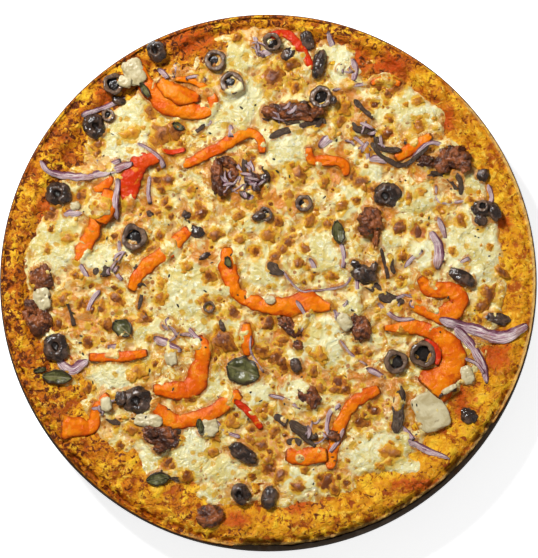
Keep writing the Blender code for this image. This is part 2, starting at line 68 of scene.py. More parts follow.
SENSOR_WIDTH = 36.0
CLIP_START = 0.05
CLIP_END = 20.0
camera_data = bpy.data.cameras.new("camera")
camera = bpy.data.objects.new("camera", camera_data)
scene = bpy.context.scene
scene.collection.objects.link(camera)
scene.camera = camera
aim = place(PHOTO_WIDTH / 2, PHOTO_HEIGHT / 2)
camera.location = (aim.x, aim.y, RIM_LEVEL + CAMERA_ABOVE_RIM)
camera_data.sensor_width = SENSOR_WIDTH
camera_data.lens = SENSOR_WIDTH * CAMERA_ABOVE_RIM / (PHOTO_HEIGHT * PIXEL)
camera_data.clip_start = CLIP_START
camera_data.clip_end = CLIP_END

# The studio: a pale floor, a pale sky for fill, one large soft lamp high on the upper left and
# a weaker one opposite.
scene.view_settings.view_transform = "Standard"
SKY_STRENGTH = 0.22
KEY_POWER = 25.0
FILL_POWER = 1.6
FLOOR_SIZE = 6.0
FLOOR_GLOW = 0.70
WHITE = (1.0, 1.0, 1.0, 1.0)


def area_lamp(name, location, size, power):
    lamp = bpy.data.lights.new(name, "AREA")
    lamp.shape = "DISK"
    lamp.size = size
    lamp.energy = power
    holder = bpy.data.objects.new(name, lamp)
    holder.location = location
    holder.rotation_euler = (Vector((0, 0, RIM_LEVEL)) - Vector(location)).to_track_quat("-Z", "Y").to_euler()
    scene.collection.objects.link(holder)


def fill(tree, node, inputs):
    """Set each named input of a node, or link it where the value comes from another node."""
    for key, value in inputs.items():
        if isinstance(value, bpy.types.NodeSocket):
            tree.links.new(value, node.inputs[key])
        else:
            node.inputs[key].default_value = value


area_lamp("key_lamp", (-0.52, 0.72, 1.15), 0.26, KEY_POWER)
area_lamp("fill_lamp", (0.9, -0.6, 1.0), 0.9, FILL_POWER)
world = bpy.data.worlds.new("studio")
world.use_nodes = True
fill(world.node_tree, world.node_tree.nodes["Background"], {"Color": WHITE, "Strength": SKY_STRENGTH})
scene.world = world

bpy.ops.mesh.primitive_plane_add(size=FLOOR_SIZE, location=(0, 0, -0.5 * MM))
floor = bpy.context.object
floor.name = "floor"
paper = bpy.data.materials.new("pale_floor")
paper.use_nodes = True
fill(paper.node_tree, paper.node_tree.nodes["Principled BSDF"],
     {"Base Color": (0.97, 0.97, 0.97, 1), "Roughness": 0.9, "Emission Color": WHITE,
      "Emission Strength": FLOOR_GLOW})
floor.data.materials.append(paper)
floor.select_set(False)

# The steel pan: pressed from one sheet, its edge cut plain, oiled and baked until it turned
# brown-black. It is turned from the wall's section, finer than the solid that it stands for.
PAN_GAUGE = 1.2 * MM
PAN_FOOT_ROUND = 4.0 * MM
PAN_TURN_STEPS = 256
PAN_FOOT_RADIUS = 144.0 * MM
PAN_SHARP_ANGLE = math.radians(35)
PAN_FLOOR_RADIUS = PAN_FOOT_RADIUS - 8 * MM
MID_WALL = 20 * MM


def wire(tree, kind, inputs=None, **settings):
    """A new node: settings are its own properties, inputs its sockets' values or links."""
    made = tree.nodes.new(kind)
    for key, value in settings.items():
        setattr(made, key, value)
    fill(tree, made, inputs or {})
    return made


def rgba(colour):
    """Three numbers made fit for a colour socket. A linked colour stays as it is."""
    return (*colour, 1.0) if isinstance(colour, tuple) else colour


def blend_colour(tree, factor, first, second):
    sockets = {0: factor, 6: rgba(first), 7: rgba(second)}
    return wire(tree, "ShaderNodeMix", sockets, data_type="RGBA").outputs[2]


def stain_group():
    """The effect that the foods share: one colour takes over from another where a reading runs
    from one level to the next, in full or by the amount given."""
    group = bpy.data.node_groups.new("stain", "ShaderNodeTree")
    for name, kind in (("Base", "Color"), ("Reading", "Float"), ("From", "Float"), ("To", "Float"),
                       ("Stain", "Color"), ("Amount", "Float")):
        group.interface.new_socket(name, in_out="INPUT", socket_type="NodeSocket" + kind)
    group.interface.new_socket("Colour", in_out="OUTPUT", socket_type="NodeSocketColor")
    given = group.nodes.new("NodeGroupInput").outputs
    share = wire(group, "ShaderNodeMapRange", {"Value": given["Reading"], "From Min": given["From"],
                                               "From Max": given["To"], "To Max": given["Amount"]},
                 interpolation_type="SMOOTHSTEP").outputs["Result"]
    mixed = blend_colour(group, share, given["Base"], given["Stain"])
    group.links.new(mixed, group.nodes.new("NodeGroupOutput").inputs["Colour"])
    return group


STAIN = stain_group()


class Look:
    """A material under way: its shader, and the nodes that work out its colour and relief."""

    def __init__(self, name):
        self.material = bpy.data.materials.new(name)
        self.material.use_nodes = True
        self.tree = self.material.node_tree
        self.where = wire(self.tree, "ShaderNodeTexCoord").outputs["Object"]

    def noise(self, scale, detail, roughness, distortion=0.0, vector=None):
        settings = {"Vector": self.where if vector is None else vector, "Scale": scale, "Detail": detail,
                    "Roughness": roughness, "Distortion": distortion}
        return wire(self.tree, "ShaderNodeTexNoise", settings).outputs["Fac"]

    def reading(self, name):
        """A value that the mesh carries at its points."""
        return wire(self.tree, "ShaderNodeAttribute", attribute_name=name).outputs["Fac"]

    def step(self, value, low, high):
        """0 below low, 1 above high and eased between."""
        return wire(self.tree, "ShaderNodeMapRange", {"Value": value, "From Min": low, "From Max": high},
                    interpolation_type="SMOOTHSTEP").outputs["Result"]

    def spread(self, value, low, high):
        """A value from 0 to 1 made one from low to high."""
        levels = {"Value": value, "To Min": low, "To Max": high}
        return wire(self.tree, "ShaderNodeMapRange", levels).outputs["Result"]

    def math(self, operation, first, second=0.0):
        return wire(self.tree, "ShaderNodeMath", {0: first, 1: second}, operation=operation).outputs[0]

    def plus(self, first, second):
        return self.math("ADD", first, second)

    def times(self, first, second):
        return self.math("MULTIPLY", first, second)

    def varied(self, value, noise, share):
        """A value that a noise moves up and down by half the share at most."""
        return self.plus(value, self.times(self.math("SUBTRACT", noise, 0.5), share))

    def painted(self, base, *layers):
        """Colours over each other. A layer is either a share and its colour, or else a reading, the
        levels between which the colour comes in, the colour and its amount, which is 1 if left out."""
        for layer in layers:
            if len(layer) == 2:
                base = blend_colour(self.tree, layer[0], base, layer[1])
                continue
            given = dict(zip(("Reading", "From", "To", "Stain", "Amount"), (*layer, 1.0)))
            given.update({"Base": rgba(base), "Stain": rgba(given["Stain"])})
            base = wire(self.tree, "ShaderNodeGroup", given, node_tree=STAIN).outputs["Colour"]
        return base

    def finish(self, colour, roughness, relief, specular=0.5, **others):
        """The material, with its colour, gloss and relief wired. Relief is height, depth, strength."""
        bump = wire(self.tree, "ShaderNodeBump", dict(zip(("Height", "Distance", "Strength"), relief)))
        sockets = {"Base Color": colour, "Roughness": roughness, "Specular IOR Level": specular,
                   "Normal": bump.outputs["Normal"]}
        sockets.update({key.replace("_", " "): value for key, value in others.items()})
        fill(self.tree, self.tree.nodes["Principled BSDF"], sockets)
        return self.material


def dress(piece, material, node=None):
    """Give a piece its material, and note what it rides on, which solid it replaces."""
    piece.data.materials.append(material)
    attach(piece, "root")
    if node:
        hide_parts(node)


def mesh_piece(name, points, faces, edges=()):
    mesh = bpy.data.meshes.new(name)
    mesh.from_pydata(np.asarray(points).tolist(), list(edges), np.asarray(faces).tolist())
    mesh.shade_smooth()
    piece = bpy.data.objects.new(name, mesh)
    scene.collection.objects.link(piece)
    return piece


def turned_piece(name, profile, steps):
    """A body turned about +Z from its section, which runs from the axis out and back to it."""
    edges = [(i, i + 1) for i in range(len(profile) - 1)]
    piece = mesh_piece(name, [(x, 0, z) for x, z in profile], [], edges)
    bpy.context.view_layer.objects.active = piece
    piece.select_set(True)
    bpy.ops.object.mode_set(mode="EDIT")
    bpy.ops.mesh.select_all(action="SELECT")
    bpy.ops.mesh.spin(steps=steps, angle=2 * math.pi, center=(0, 0, 0), axis=(0, 0, 1))
    bpy.ops.mesh.select_all(action="SELECT")
    bpy.ops.mesh.remove_doubles(threshold=0.00002)
    bpy.ops.mesh.normals_make_consistent(inside=False)
    bpy.ops.object.mode_set(mode="OBJECT")
    piece.select_set(False)
    return piece


wall_slope = (RIM_RADIUS - PAN_FOOT_RADIUS) / RIM_LEVEL
inner_wall = [(PAN_FOOT_RADIUS - PAN_GAUGE + wall_slope * z, z)
              for z in (7 * MM, MID_WALL, RIM_LEVEL - 0.4 * MM)]
outer_wall = [(PAN_FOOT_RADIUS + wall_slope * z, z) for z in (RIM_LEVEL - 0.3 * MM, MID_WALL, 6 * MM)]
foot_turns = np.linspace(0, math.pi / 2, 7)
foot_curve = [(PAN_FOOT_RADIUS - PAN_FOOT_ROUND + (PAN_FOOT_ROUND + 0.6 * MM) * math.cos(turn),
               PAN_FOOT_ROUND - PAN_FOOT_ROUND * math.sin(turn)) for turn in foot_turns]
pan_profile = ([(0.0, PAN_GAUGE), (PAN_FLOOR_RADIUS, PAN_GAUGE),
                (PAN_FOOT_RADIUS - 3.2 * MM, PAN_GAUGE + 1.2 * MM)]
               + inner_wall
               + [(RIM_RADIUS - PAN_GAUGE + 0.3 * MM, RIM_LEVEL), (RIM_RADIUS - 0.3 * MM, RIM_LEVEL)]
               + outer_wall + foot_curve + [(0.0, 0.0)])
pan = turned_piece("steel_pan", pan_profile, PAN_TURN_STEPS)
pan.data.shade_smooth()
pan.data.set_sharp_from_angle(angle=PAN_SHARP_ANGLE)

look = Look("seasoned_steel")
patina = look.noise(18, 6, 0.65)
drawn_down = wire(look.tree, "ShaderNodeMapping", {"Vector": look.where, "Scale": (1, 1, 0.12)}).outputs[0]
streaks = look.noise(120, 4, 0.6, vector=drawn_down)
drips = look.step(look.noise(45, 5, 0.7, 0.6), 0.56, 0.66)
steel_colour = look.painted((0.010, 0.0075, 0.0055),
                            (patina, (0.030, 0.021, 0.015)),
                            (streaks, 0.5, 0.75, (0.045, 0.034, 0.026)),
                            (drips, (0.022, 0.010, 0.004)))
steel = look.finish(steel_colour, look.spread(patina, 0.34, 0.6),
                    (look.plus(streaks, drips), 0.00015, 0.6), 0.25, Metallic=0.15)
dress(pan, steel, "pan")

# The dough: pressed up the pan's wall and baked golden, with scorched bubbles. Its edge is a
# ring of fine mesh laid over the solid's own shape, and the rest of it is hidden.
PLAN_STEP = 0.8 * MM
PLAN_CELLS = 384
CRUST_ROWS = 76
CRUST_INNER_FOOT = 30 * MM
CRUST_UNDER_CHEESE = 9 * MM
CRUST_WALL_FOOT = 22 * MM
CRUST_LIP = 2.2 * MM
CRUST_LIP_DROP = 2.0 * MM
plan_line = (np.arange(PLAN_CELLS + 1) - PLAN_CELLS / 2) * PLAN_STEP
PLAN_X, PLAN_Y = np.meshgrid(plan_line, plan_line, indexing="ij")
PLAN_R = np.hypot(PLAN_X, PLAN_Y)


def uneven(x, y, size, seed):
    """Smooth random unevenness between about -1 and 1, with lumps of the given size."""
    angles = np.random.default_rng(seed).uniform(0, 2 * math.pi, (64, 64))
    u, v = np.asarray(x) / size + 500.0, np.asarray(y) / size + 500.0
    i, j = np.floor(u).astype(int), np.floor(v).astype(int)
    fu, fv = u - i, v - j
    total = 0.0
    for di, dj in ((0, 0), (0, 1), (1, 0), (1, 1)):
        turn = angles[(i + di) % 64, (j + dj) % 64]
        slope = np.cos(turn) * (fu - di) + np.sin(turn) * (fv - dj)
        wu, wv = 1 - np.abs(fu - di), 1 - np.abs(fv - dj)
        total = total + slope * wu * wu * (3 - 2 * wu) * wv * wv * (3 - 2 * wv)
    return total * 1.5


def rough_heap(x, y, size, seed, octaves=3):
    """Unevenness at several sizes, each half the last."""
    return sum(uneven(x, y, size / 2 ** k, seed + k) / 2 ** k for k in range(octaves))


def plan_noise(size_mm, seed):
    return uneven(PLAN_X, PLAN_Y, size_mm * MM, seed)


def plan_heap(size_mm, seed, octaves):
    return rough_heap(PLAN_X, PLAN_Y, size_mm * MM, seed, octaves)


def softened(field, passes):
    """A field on the plan, blurred one cell further by each pass."""
    for _ in range(passes):
        field = (np.roll(field, 1, 0) + np.roll(field, -1, 0) + 2 * field) / 4
        field = (np.roll(field, 1, 1) + np.roll(field, -1, 1) + 2 * field) / 4
    return field


def solid_heights(node):
    """Height of a CAD node's top over the plan, and where there is any."""
    shape = bmesh.new()
    shape.from_mesh(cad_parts[node].data)
    tree_of_node = BVHTree.FromBMesh(shape)
    shape.free()
    heights = np.full(PLAN_X.shape, np.nan)
    down = Vector((0, 0, -1))
    for i in range(0, PLAN_CELLS + 1, 2):
        for j in range(0, PLAN_CELLS + 1, 2):
            if PLAN_R[i, j] < RIM_RADIUS:
                hit = tree_of_node.ray_cast(Vector((plan_line[i], plan_line[j], 0.2)), down)[0]
                if hit is not None:
                    heights[i, j] = hit.z
    return heights[::2, ::2]


def filled_in(coarse):
    """A half-density field with gaps, spread outwards, smoothed and read at full density."""
    known = np.where(np.isnan(coarse), 0.0, coarse)
    weight = (~np.isnan(coarse)).astype(float)
    result, share = softened(known, 2), softened(weight, 2)
    for _ in range(6):
        wide, wide_share = softened(known, 12), softened(weight, 12)
        gaps = share < 0.05
        result = np.where(gaps, wide, result)
        share = np.where(gaps, wide_share, share)
        known = np.where(weight > 0, known, np.where(share > 0.01, result / np.maximum(share, 1e-9), 0))
        weight = (share > 0.01).astype(float)
    full = np.repeat(np.repeat(known, 2, 0), 2, 1)[:PLAN_CELLS + 1, :PLAN_CELLS + 1]
    return softened(full, 2)


def read_plan(field, x, y):
    """A plan field read at any places."""
    u = np.clip(np.asarray(x) / PLAN_STEP + PLAN_CELLS / 2, 0, PLAN_CELLS - 1.001)
    v = np.clip(np.asarray(y) / PLAN_STEP + PLAN_CELLS / 2, 0, PLAN_CELLS - 1.001)
    i, j = u.astype(int), v.astype(int)
    fu, fv = u - i, v - j
    return (field[i, j] * (1 - fu) * (1 - fv) + field[i + 1, j] * fu * (1 - fv)
            + field[i, j + 1] * (1 - fu) * fv + field[i + 1, j + 1] * fu * fv)


crust_solid = solid_heights("crust")
cheese_solid = solid_heights("cheese")
crust_level = filled_in(np.where(crust_solid > CRUST_INNER_FOOT, crust_solid, np.nan))
cheese_level = filled_in(cheese_solid)
EDGE_TURNS = 720
edge_angles = np.arange(EDGE_TURNS) * 2 * math.pi / EDGE_TURNS


def reach_of(coarse):
    """How far a solid reaches from the middle, at each angle."""
    there = softened(np.repeat(np.repeat((~np.isnan(coarse)).astype(float), 2, 0), 2, 1), 1)
    radii = np.arange(60 * MM, RIM_RADIUS, 0.25 * MM)
    inside = np.array([read_plan(there, radii * math.cos(a), radii * math.sin(a)) > 0.5 for a in edge_angles])
    return np.array([radii[row].max() for row in inside])


def at_angle(values, angle):
    """A value round the edge, read at any angle."""
    spot = (np.asarray(angle) / (2 * math.pi) * EDGE_TURNS) % EDGE_TURNS
    i = spot.astype(int) % EDGE_TURNS
    part = spot - np.floor(spot)
    return values[i] * (1 - part) + values[(i + 1) % EDGE_TURNS] * part


cheese_reach = reach_of(cheese_solid)
from_cheese_edge = at_angle(cheese_reach, np.arctan2(PLAN_Y, PLAN_X)) - PLAN_R
crust_level = (crust_level + 0.6 * MM * plan_noise(11, 21)
               + 0.9 * MM * plan_heap(4.6, 22, 3))

# Sauce that smeared over the dough's edge: centre and half widths in photo pixels
SAUCE_SMEARS = [
    (391, 65, 22, 13), (192, 42, 24, 14), (446, 119, 10, 14), (502, 222, 9, 9), (496, 356, 20, 18),
    (462, 401, 9, 22), (45, 213, 9, 16), (299, 505, 14, 8), (420, 485, 34, 8), (100, 165, 10, 8),
    (358, 60, 14, 16), (104, 96, 10, 12), (34, 318, 10, 20), (70, 352, 12, 16), (236, 520, 16, 8)
]


def patches(entries, sharpness=2):
    """A plan field that is 1 in the middle of each named patch and fades out past its edge."""
    field = np.zeros(PLAN_X.shape)
    for px, py, half_wide, half_tall in entries:
        middle = place(px, py)
        reach = np.hypot((PLAN_X - middle.x) / (half_wide * PIXEL), (PLAN_Y - middle.y) / (half_tall * PIXEL))
        reach = reach + 0.25 * plan_noise(5, 77)
        field = np.maximum(field, np.exp(-np.maximum(reach, 0) ** (2 * sharpness) * 0.7))
    return field


sauce_smears = patches(SAUCE_SMEARS, 1)
RING_TURNS = 1200


def ring_piece(name, inner_radii, outer_radii, heights, rows, under):
    """A closed ring: fine rows across its top, and below it a plain wall that nobody sees.

    The wall is given from the bottom up, as radii round the ring and heights."""
    angles = np.arange(RING_TURNS) * 2 * math.pi / RING_TURNS
    inner, outer = at_angle(inner_radii, angles), at_angle(outer_radii, angles)
    inward = (outer - inner)[None, :] * np.linspace(0, 1, rows)[:, None]
    radius = outer[None, :] - inward
    top_z = heights(radius * np.cos(angles), radius * np.sin(angles), inward)
    wall_radius = np.stack([np.minimum(at_angle(np.broadcast_to(r, edge_angles.shape), angles), outer)
                            for r, z in under])
    wall_z = np.stack([np.minimum(np.full(RING_TURNS, z), top_z[0] - 0.2 * MM) for r, z in under])
    radius = np.vstack([wall_radius, radius, inner[None, :]])
    z = np.vstack([wall_z, top_z, np.full((1, RING_TURNS), under[0][1])])
    points = np.stack([radius * np.cos(angles), radius * np.sin(angles), z], -1).reshape(-1, 3)
    count = radius.shape[0]
    row = np.arange(count)[:, None]
    turn = np.arange(RING_TURNS)[None, :]
    corners = [((row + down) % count) * RING_TURNS + (turn + side) % RING_TURNS
               for down, side in ((0, 0), (0, 1), (1, 1), (1, 0))]
    return mesh_piece(name, points, np.stack(corners, -1).reshape(-1, 4))


# How much of the rim the dough leaves bare: angle anticlockwise from the right, photo pixels
RIM_BARE = [
    (0, 0.8), (30, 0.5), (90, 0.4), (150, 0.5), (180, 0.8), (200, 1.5), (225, 2.2), (250, 2.0), (262, 3.0),
    (272, 5.0), (290, 5.4), (310, 4.6), (325, 3.6), (338, 1.6), (360, 0.8)
]
NIBBLED_AT = 153 * MM
bare = np.interp(np.degrees(edge_angles), *zip(*RIM_BARE)) * PIXEL
nibbled = uneven(NIBBLED_AT * np.cos(edge_angles), NIBBLED_AT * np.sin(edge_angles), 5 * MM, 25)
crust_edge = RIM_RADIUS - bare - 0.35 * MM * np.abs(nibbled)


def crust_heights(x, y, inward):
    z = read_plan(crust_level, x, y)
    lip = np.clip(inward / CRUST_LIP, 0, 1)
    z = z - CRUST_LIP_DROP * (1 - lip) ** 2
    over_rim = np.clip((np.hypot(x, y) - (RIM_RADIUS - 2.4 * MM)) / (0.6 * MM), 0, 1)
    return np.maximum(z, over_rim * (RIM_LEVEL + (0.25 + 0.55 * lip) * MM))


def store(piece, name, values):
    attribute = piece.data.attributes.new(name, "FLOAT", "POINT")
    attribute.data.foreach_set("value", np.asarray(values, dtype=np.float32))


def points_of(piece):
    flat = np.empty(len(piece.data.vertices) * 3)
    piece.data.vertices.foreach_get("co", flat)
    return flat.reshape(-1, 3)


def set_points(piece, points):
    piece.data.vertices.foreach_set("co", np.asarray(points, dtype=np.float32).ravel())
    piece.data.update()


def inside_wall(z):
    return PAN_FOOT_RADIUS - PAN_GAUGE + wall_slope * z - 0.4 * MM


crust_wall = [(inside_wall(z), z) for z in (CRUST_WALL_FOOT, RIM_LEVEL - 1 * MM)]
crust_wall += [(inside_wall(RIM_LEVEL), RIM_LEVEL + 0.1 * MM), (crust_edge - 0.1 * MM, RIM_LEVEL + 0.1 * MM)]
crust = ring_piece("baked_crust", cheese_reach - CRUST_UNDER_CHEESE, crust_edge, crust_heights,
                   CRUST_ROWS, crust_wall)
crust_points = points_of(crust)
crust_x, crust_y = crust_points[:, 0], crust_points[:, 1]
crust_inward = at_angle(crust_edge, np.arctan2(crust_y, crust_x)) - np.hypot(crust_x, crust_y)
store(crust, "sauce", read_plan(sauce_smears, crust_x, crust_y))
store(crust, "inward", crust_inward / MM)
# painted shade: how far the crust lies below its smoothed self, which the material reads to darken its
# hollows
store(crust, "shade_in_hollows", read_plan((softened(crust_level, 5) - crust_level) / MM, crust_x, crust_y))

look = Look("baked_dough")
broad = look.noise(60, 4, 0.6)
grain = look.noise(240, 5, 0.66, 0.6)
flecks = look.noise(300, 3, 0.6, 1.0)
inward = look.reading("inward")
further_in = look.plus(look.times(inward, 0.016), 1.0)
drawn_out = wire(look.tree, "ShaderNodeVectorMath", {0: look.where, "Scale": further_in},
                 operation="SCALE").outputs["Vector"]
streaks = look.noise(95, 5, 0.62, 0.4, drawn_out)
sides = wire(look.tree, "ShaderNodeSeparateXYZ", {"Vector": look.where}).outputs
# painted light and shade: the crust is painted lighter and yellower towards the lower right, and gets more
# dark specks towards the upper left
painted_light_side = look.varied(look.math("SUBTRACT", sides["X"], look.times(sides["Y"], 0.6)), broad, 0.3)
smear = look.varied(look.varied(look.reading("sauce"), grain, 2.2), streaks, 1.6)
shade_in_hollows = look.step(look.reading("shade_in_hollows"), 0.10, 0.7)
burnt_edge = look.step(inward, 6.0, 0.0)
painted_shade_side = look.step(painted_light_side, 0.06, -0.08)
plainer_side = look.step(sides["X"], 0.04, 0.10)
fleck_level = look.plus(flecks, look.times(broad, 0.30))
for side, share in ((burnt_edge, 0.05), (painted_shade_side, 0.06), (plainer_side, -0.045)):
    fleck_level = look.plus(fleck_level, look.times(side, share))
# painted highlight: a pale beige line along the crust's outer edge, on its lower-right side
painted_edge_highlight = look.times(look.step(inward, 2.6, 0.9), look.step(painted_light_side, 0.02, 0.10))
crust_colour = look.painted((0.70, 0.29, 0.006),
                            (broad, 0.38, 0.66, (0.54, 0.135, 0.003)),
                            # painted light: lighter and yellower towards the lower right
                            (painted_light_side, 0.0, 0.15, (0.78, 0.36, 0.008), 0.6),
                            (streaks, 0.52, 0.62, (0.86, 0.5, 0.022)),
                            (streaks, 0.48, 0.36, (0.36, 0.058, 0.003), 0.9),
                            # painted highlight and shade: the grain noise also raises the bumps, so its
                            # bright yellow marks their tops and its dark brown their hollows
                            (grain, 0.54, 0.68, (0.9, 0.56, 0.06)),
                            (grain, 0.46, 0.36, (0.3, 0.052, 0.003)),
                            (smear, 0.3, 0.9, (0.5, 0.045, 0.003), 0.85),
                            # painted shade: darker brown in the crust's hollows
                            (look.times(shade_in_hollows, 0.7), (0.34, 0.062, 0.004)),
                            (fleck_level, 0.705, 0.785, (0.31, 0.070, 0.005)),
                            (fleck_level, 0.77, 0.83, (0.10, 0.019, 0.003)),
                            # painted highlight along the lower-right edge
                            (look.times(painted_edge_highlight, 0.65), (0.74, 0.50, 0.17)),
                            (inward, 0.6, 0.1, (0.2, 0.055, 0.006)))
bubbled = look.plus(look.times(grain, 2.2), look.times(streaks, 1.5))
golden = look.finish(crust_colour, look.spread(grain, 0.22, 0.50),
                     (look.math("SUBTRACT", bubbled, flecks), 0.0011, 0.9), 0.16)
dress(crust, golden, "crust")

# The sauce: crushed tomato, cooked to a moist paste and spread on the dough. It would show
# between cheese and dough, so it is a ring that runs from under one to under the other.
SAUCE_BAND = 5 * MM
SAUCE_UNDER_CHEESE = 8 * MM
SAUCE_FOOT = 29 * MM
SAUCE_ROWS = 16


def sauce_heights(x, y, inward):
    z = read_plan(crust_level, x, y) - 1.0 * MM
    return z + 0.8 * MM * rough_heap(x, y, 3.5 * MM, 31, 2)


sauce_wall = [(cheese_reach, SAUCE_FOOT), (cheese_reach + SAUCE_BAND - 0.5 * MM, SAUCE_FOOT + 2 * MM)]
sauce = ring_piece("tomato_sauce", cheese_reach - SAUCE_UNDER_CHEESE, cheese_reach + SAUCE_BAND,
                   sauce_heights, SAUCE_ROWS, sauce_wall)
look = Look("cooked_sauce")
pulp = look.noise(300, 4, 0.6, 0.5)
sauce_colour = look.painted((0.26, 0.022, 0.004), (pulp, 0.35, 0.68, (0.5, 0.1, 0.008)))
dress(sauce, look.finish(sauce_colour, 0.28, (pulp, 0.0006, 0.7)), "sauce")

# Where the cheese lies in pools and where it browned. Each pool and each large blister has its
# own place in the photograph, and the small blisters are scattered between the pools. A pool has
# its centre and half widths in photo pixels.
CHEESE_POOLS = [
    (125, 127, 30, 34), (416, 104, 22, 22), (56, 238, 24, 28), (325, 341, 20, 24), (388, 458, 36, 23),
    (472, 250, 27, 40), (152, 463, 13, 20), (190, 455, 18, 26), (115, 377, 22, 11), (300, 480, 20, 14),
    (206, 498, 9, 9), (240, 100, 22, 26), (285, 148, 22, 16), (230, 58, 20, 14), (340, 62, 11, 19),
    (185, 290, 24, 26), (266, 270, 20, 16), (415, 200, 20, 13), (425, 252, 13, 14), (256, 394, 15, 12),
    (207, 122, 20, 12), (348, 200, 14, 12), (258, 222, 22, 10), (318, 252, 18, 16), (98, 258, 16, 12),
    (212, 388, 12, 12), (292, 358, 12, 10), (150, 330, 20, 10), (352, 308, 9, 12), (476, 178, 10, 12),
    (300, 120, 12, 6), (196, 330, 9, 14), (236, 330, 10, 14), (345, 265, 10, 14), (388, 240, 12, 9),
    (275, 300, 14, 7), (165, 130, 9, 8), (222, 470, 14, 12), (372, 175, 10, 10), (298, 392, 14, 10)
]
pool = patches(CHEESE_POOLS, 2)

# Blisters where the cheese browned: centre, radius and how dark, in photo pixels and tenths
BLISTERS = [
    (151, 111, 7, 7), (162, 135, 9, 8), (175, 130, 9, 9), (98, 144, 5, 8), (96, 154, 4, 7), (65, 162, 6, 10),
    (193, 78, 5, 9), (215, 66, 5, 6), (220, 49, 5, 7), (237, 37, 5, 7), (274, 76, 10, 9), (296, 88, 6, 8),
    (290, 64, 6, 9), (352, 45, 5, 8), (271, 177, 6, 8), (299, 173, 8, 7), (251, 158, 6, 8), (398, 85, 7, 9),
    (379, 86, 5, 8), (388, 93, 5, 9), (429, 83, 5, 8), (423, 76, 3, 7), (388, 133, 6, 9), (390, 119, 4, 7),
    (375, 104, 4, 9), (464, 124, 4, 9), (502, 180, 7, 10), (500, 165, 3, 9), (51, 215, 6, 9), (51, 229, 3, 9),
    (80, 196, 6, 9), (91, 233, 6, 7), (114, 236, 4, 9), (160, 236, 4, 9), (165, 203, 5, 8), (158, 213, 4, 8),
    (156, 180, 6, 9), (168, 180, 6, 9), (200, 214, 7, 9), (277, 222, 6, 8), (269, 234, 8, 6),
    (289, 242, 5, 8), (283, 250, 5, 8), (275, 257, 5, 8), (305, 248, 5, 7), (299, 263, 5, 8),
    (256, 252, 6, 8), (209, 276, 7, 8), (226, 280, 5, 7), (333, 276, 5, 7), (233, 312, 6, 9),
    (269, 322, 7, 9), (224, 342, 11, 9), (289, 315, 5, 9), (399, 227, 7, 8), (357, 201, 4, 8),
    (342, 205, 6, 7), (418, 232, 6, 10), (461, 220, 6, 7), (471, 201, 4, 7), (402, 279, 5, 6),
    (427, 275, 4, 8), (452, 252, 4, 6), (502, 272, 6, 8), (490, 294, 7, 9), (482, 306, 6, 9),
    (480, 320, 5, 8), (403, 256, 5, 8), (404, 330, 5, 8), (449, 341, 4, 9), (81, 304, 5, 9), (58, 325, 6, 9),
    (75, 275, 4, 8), (88, 342, 6, 10), (89, 388, 5, 9), (120, 446, 4, 9), (122, 471, 9, 10), (167, 464, 6, 9),
    (187, 476, 6, 9), (190, 398, 6, 9), (270, 452, 4, 8), (269, 469, 8, 9), (338, 383, 7, 10),
    (297, 487, 6, 8), (327, 483, 8, 10), (346, 484, 5, 8), (362, 484, 6, 8), (360, 421, 7, 9),
    (375, 412, 6, 10), (369, 406, 3, 9), (357, 352, 4, 8), (370, 354, 3, 8), (261, 352, 7, 8),
    (276, 358, 7, 9), (285, 367, 6, 9), (314, 371, 5, 8), (460, 435, 3, 10), (438, 444, 3, 9),
    (426, 456, 4, 10), (132, 133, 7, 4), (418, 101, 5, 5), (406, 104, 3, 5), (68, 238, 7, 4), (47, 249, 4, 5),
    (160, 298, 7, 5), (161, 284, 5, 4), (186, 266, 5, 4), (420, 125, 7, 6), (490, 247, 4, 4),
    (421, 192, 5, 4), (409, 197, 5, 5), (391, 453, 9, 5), (380, 466, 4, 4), (212, 452, 6, 5),
    (231, 423, 8, 5), (250, 205, 6, 4), (321, 355, 7, 4), (324, 110, 6, 5), (345, 108, 7, 6),
    (340, 120, 6, 6), (243, 172, 5, 9), (258, 190, 6, 9), (138, 372, 9, 4), (205, 300, 5, 6),
    (118, 300, 7, 8), (130, 322, 6, 7), (100, 310, 6, 8), (108, 325, 7, 8), (145, 318, 6, 8), (62, 300, 6, 7),
    (346, 390, 5, 9), (352, 398, 4, 9), (283, 340, 5, 8), (300, 335, 6, 9), (318, 310, 5, 8),
    (320, 388, 6, 6), (265, 410, 6, 6), (250, 440, 5, 7), (215, 436, 6, 6), (180, 440, 5, 6),
    (133, 430, 6, 7), (275, 432, 6, 8), (262, 445, 6, 8), (280, 475, 7, 8), (305, 470, 5, 6),
    (180, 150, 6, 6), (190, 190, 5, 6), (225, 195, 6, 6), (240, 215, 5, 6), (215, 235, 6, 7),
    (240, 240, 5, 6), (290, 195, 5, 6), (310, 220, 6, 7), (330, 225, 5, 6), (150, 250, 5, 6),
    (118, 205, 6, 7), (101, 222, 5, 6), (372, 190, 6, 7), (360, 182, 6, 8), (352, 176, 6, 8),
    (325, 182, 5, 6), (440, 208, 5, 6)
]
# Where oil and sauce came up through the cheese: centre and half widths in photo pixels
RICH_PATCHES = [
    (182, 84, 34, 22), (278, 82, 24, 14), (334, 164, 18, 24), (238, 172, 28, 24), (124, 206, 26, 20),
    (88, 314, 30, 26), (228, 342, 14, 24), (278, 352, 22, 36), (376, 396, 26, 32), (168, 420, 26, 22),
    (268, 444, 30, 24), (336, 476, 20, 20), (382, 208, 20, 20), (416, 298, 20, 24), (446, 170, 32, 18),
    (266, 214, 24, 24), (214, 60, 20, 16), (352, 100, 16, 24), (316, 370, 18, 22), (205, 260, 18, 26)
]
rich = patches(RICH_PATCHES, 1)
SMALL_BLISTERS = 520
browning = np.zeros(PLAN_X.shape)
HALO_WOBBLE = 0.60 * plan_noise(4.6, 51) + 0.40 * plan_noise(2.2, 52)


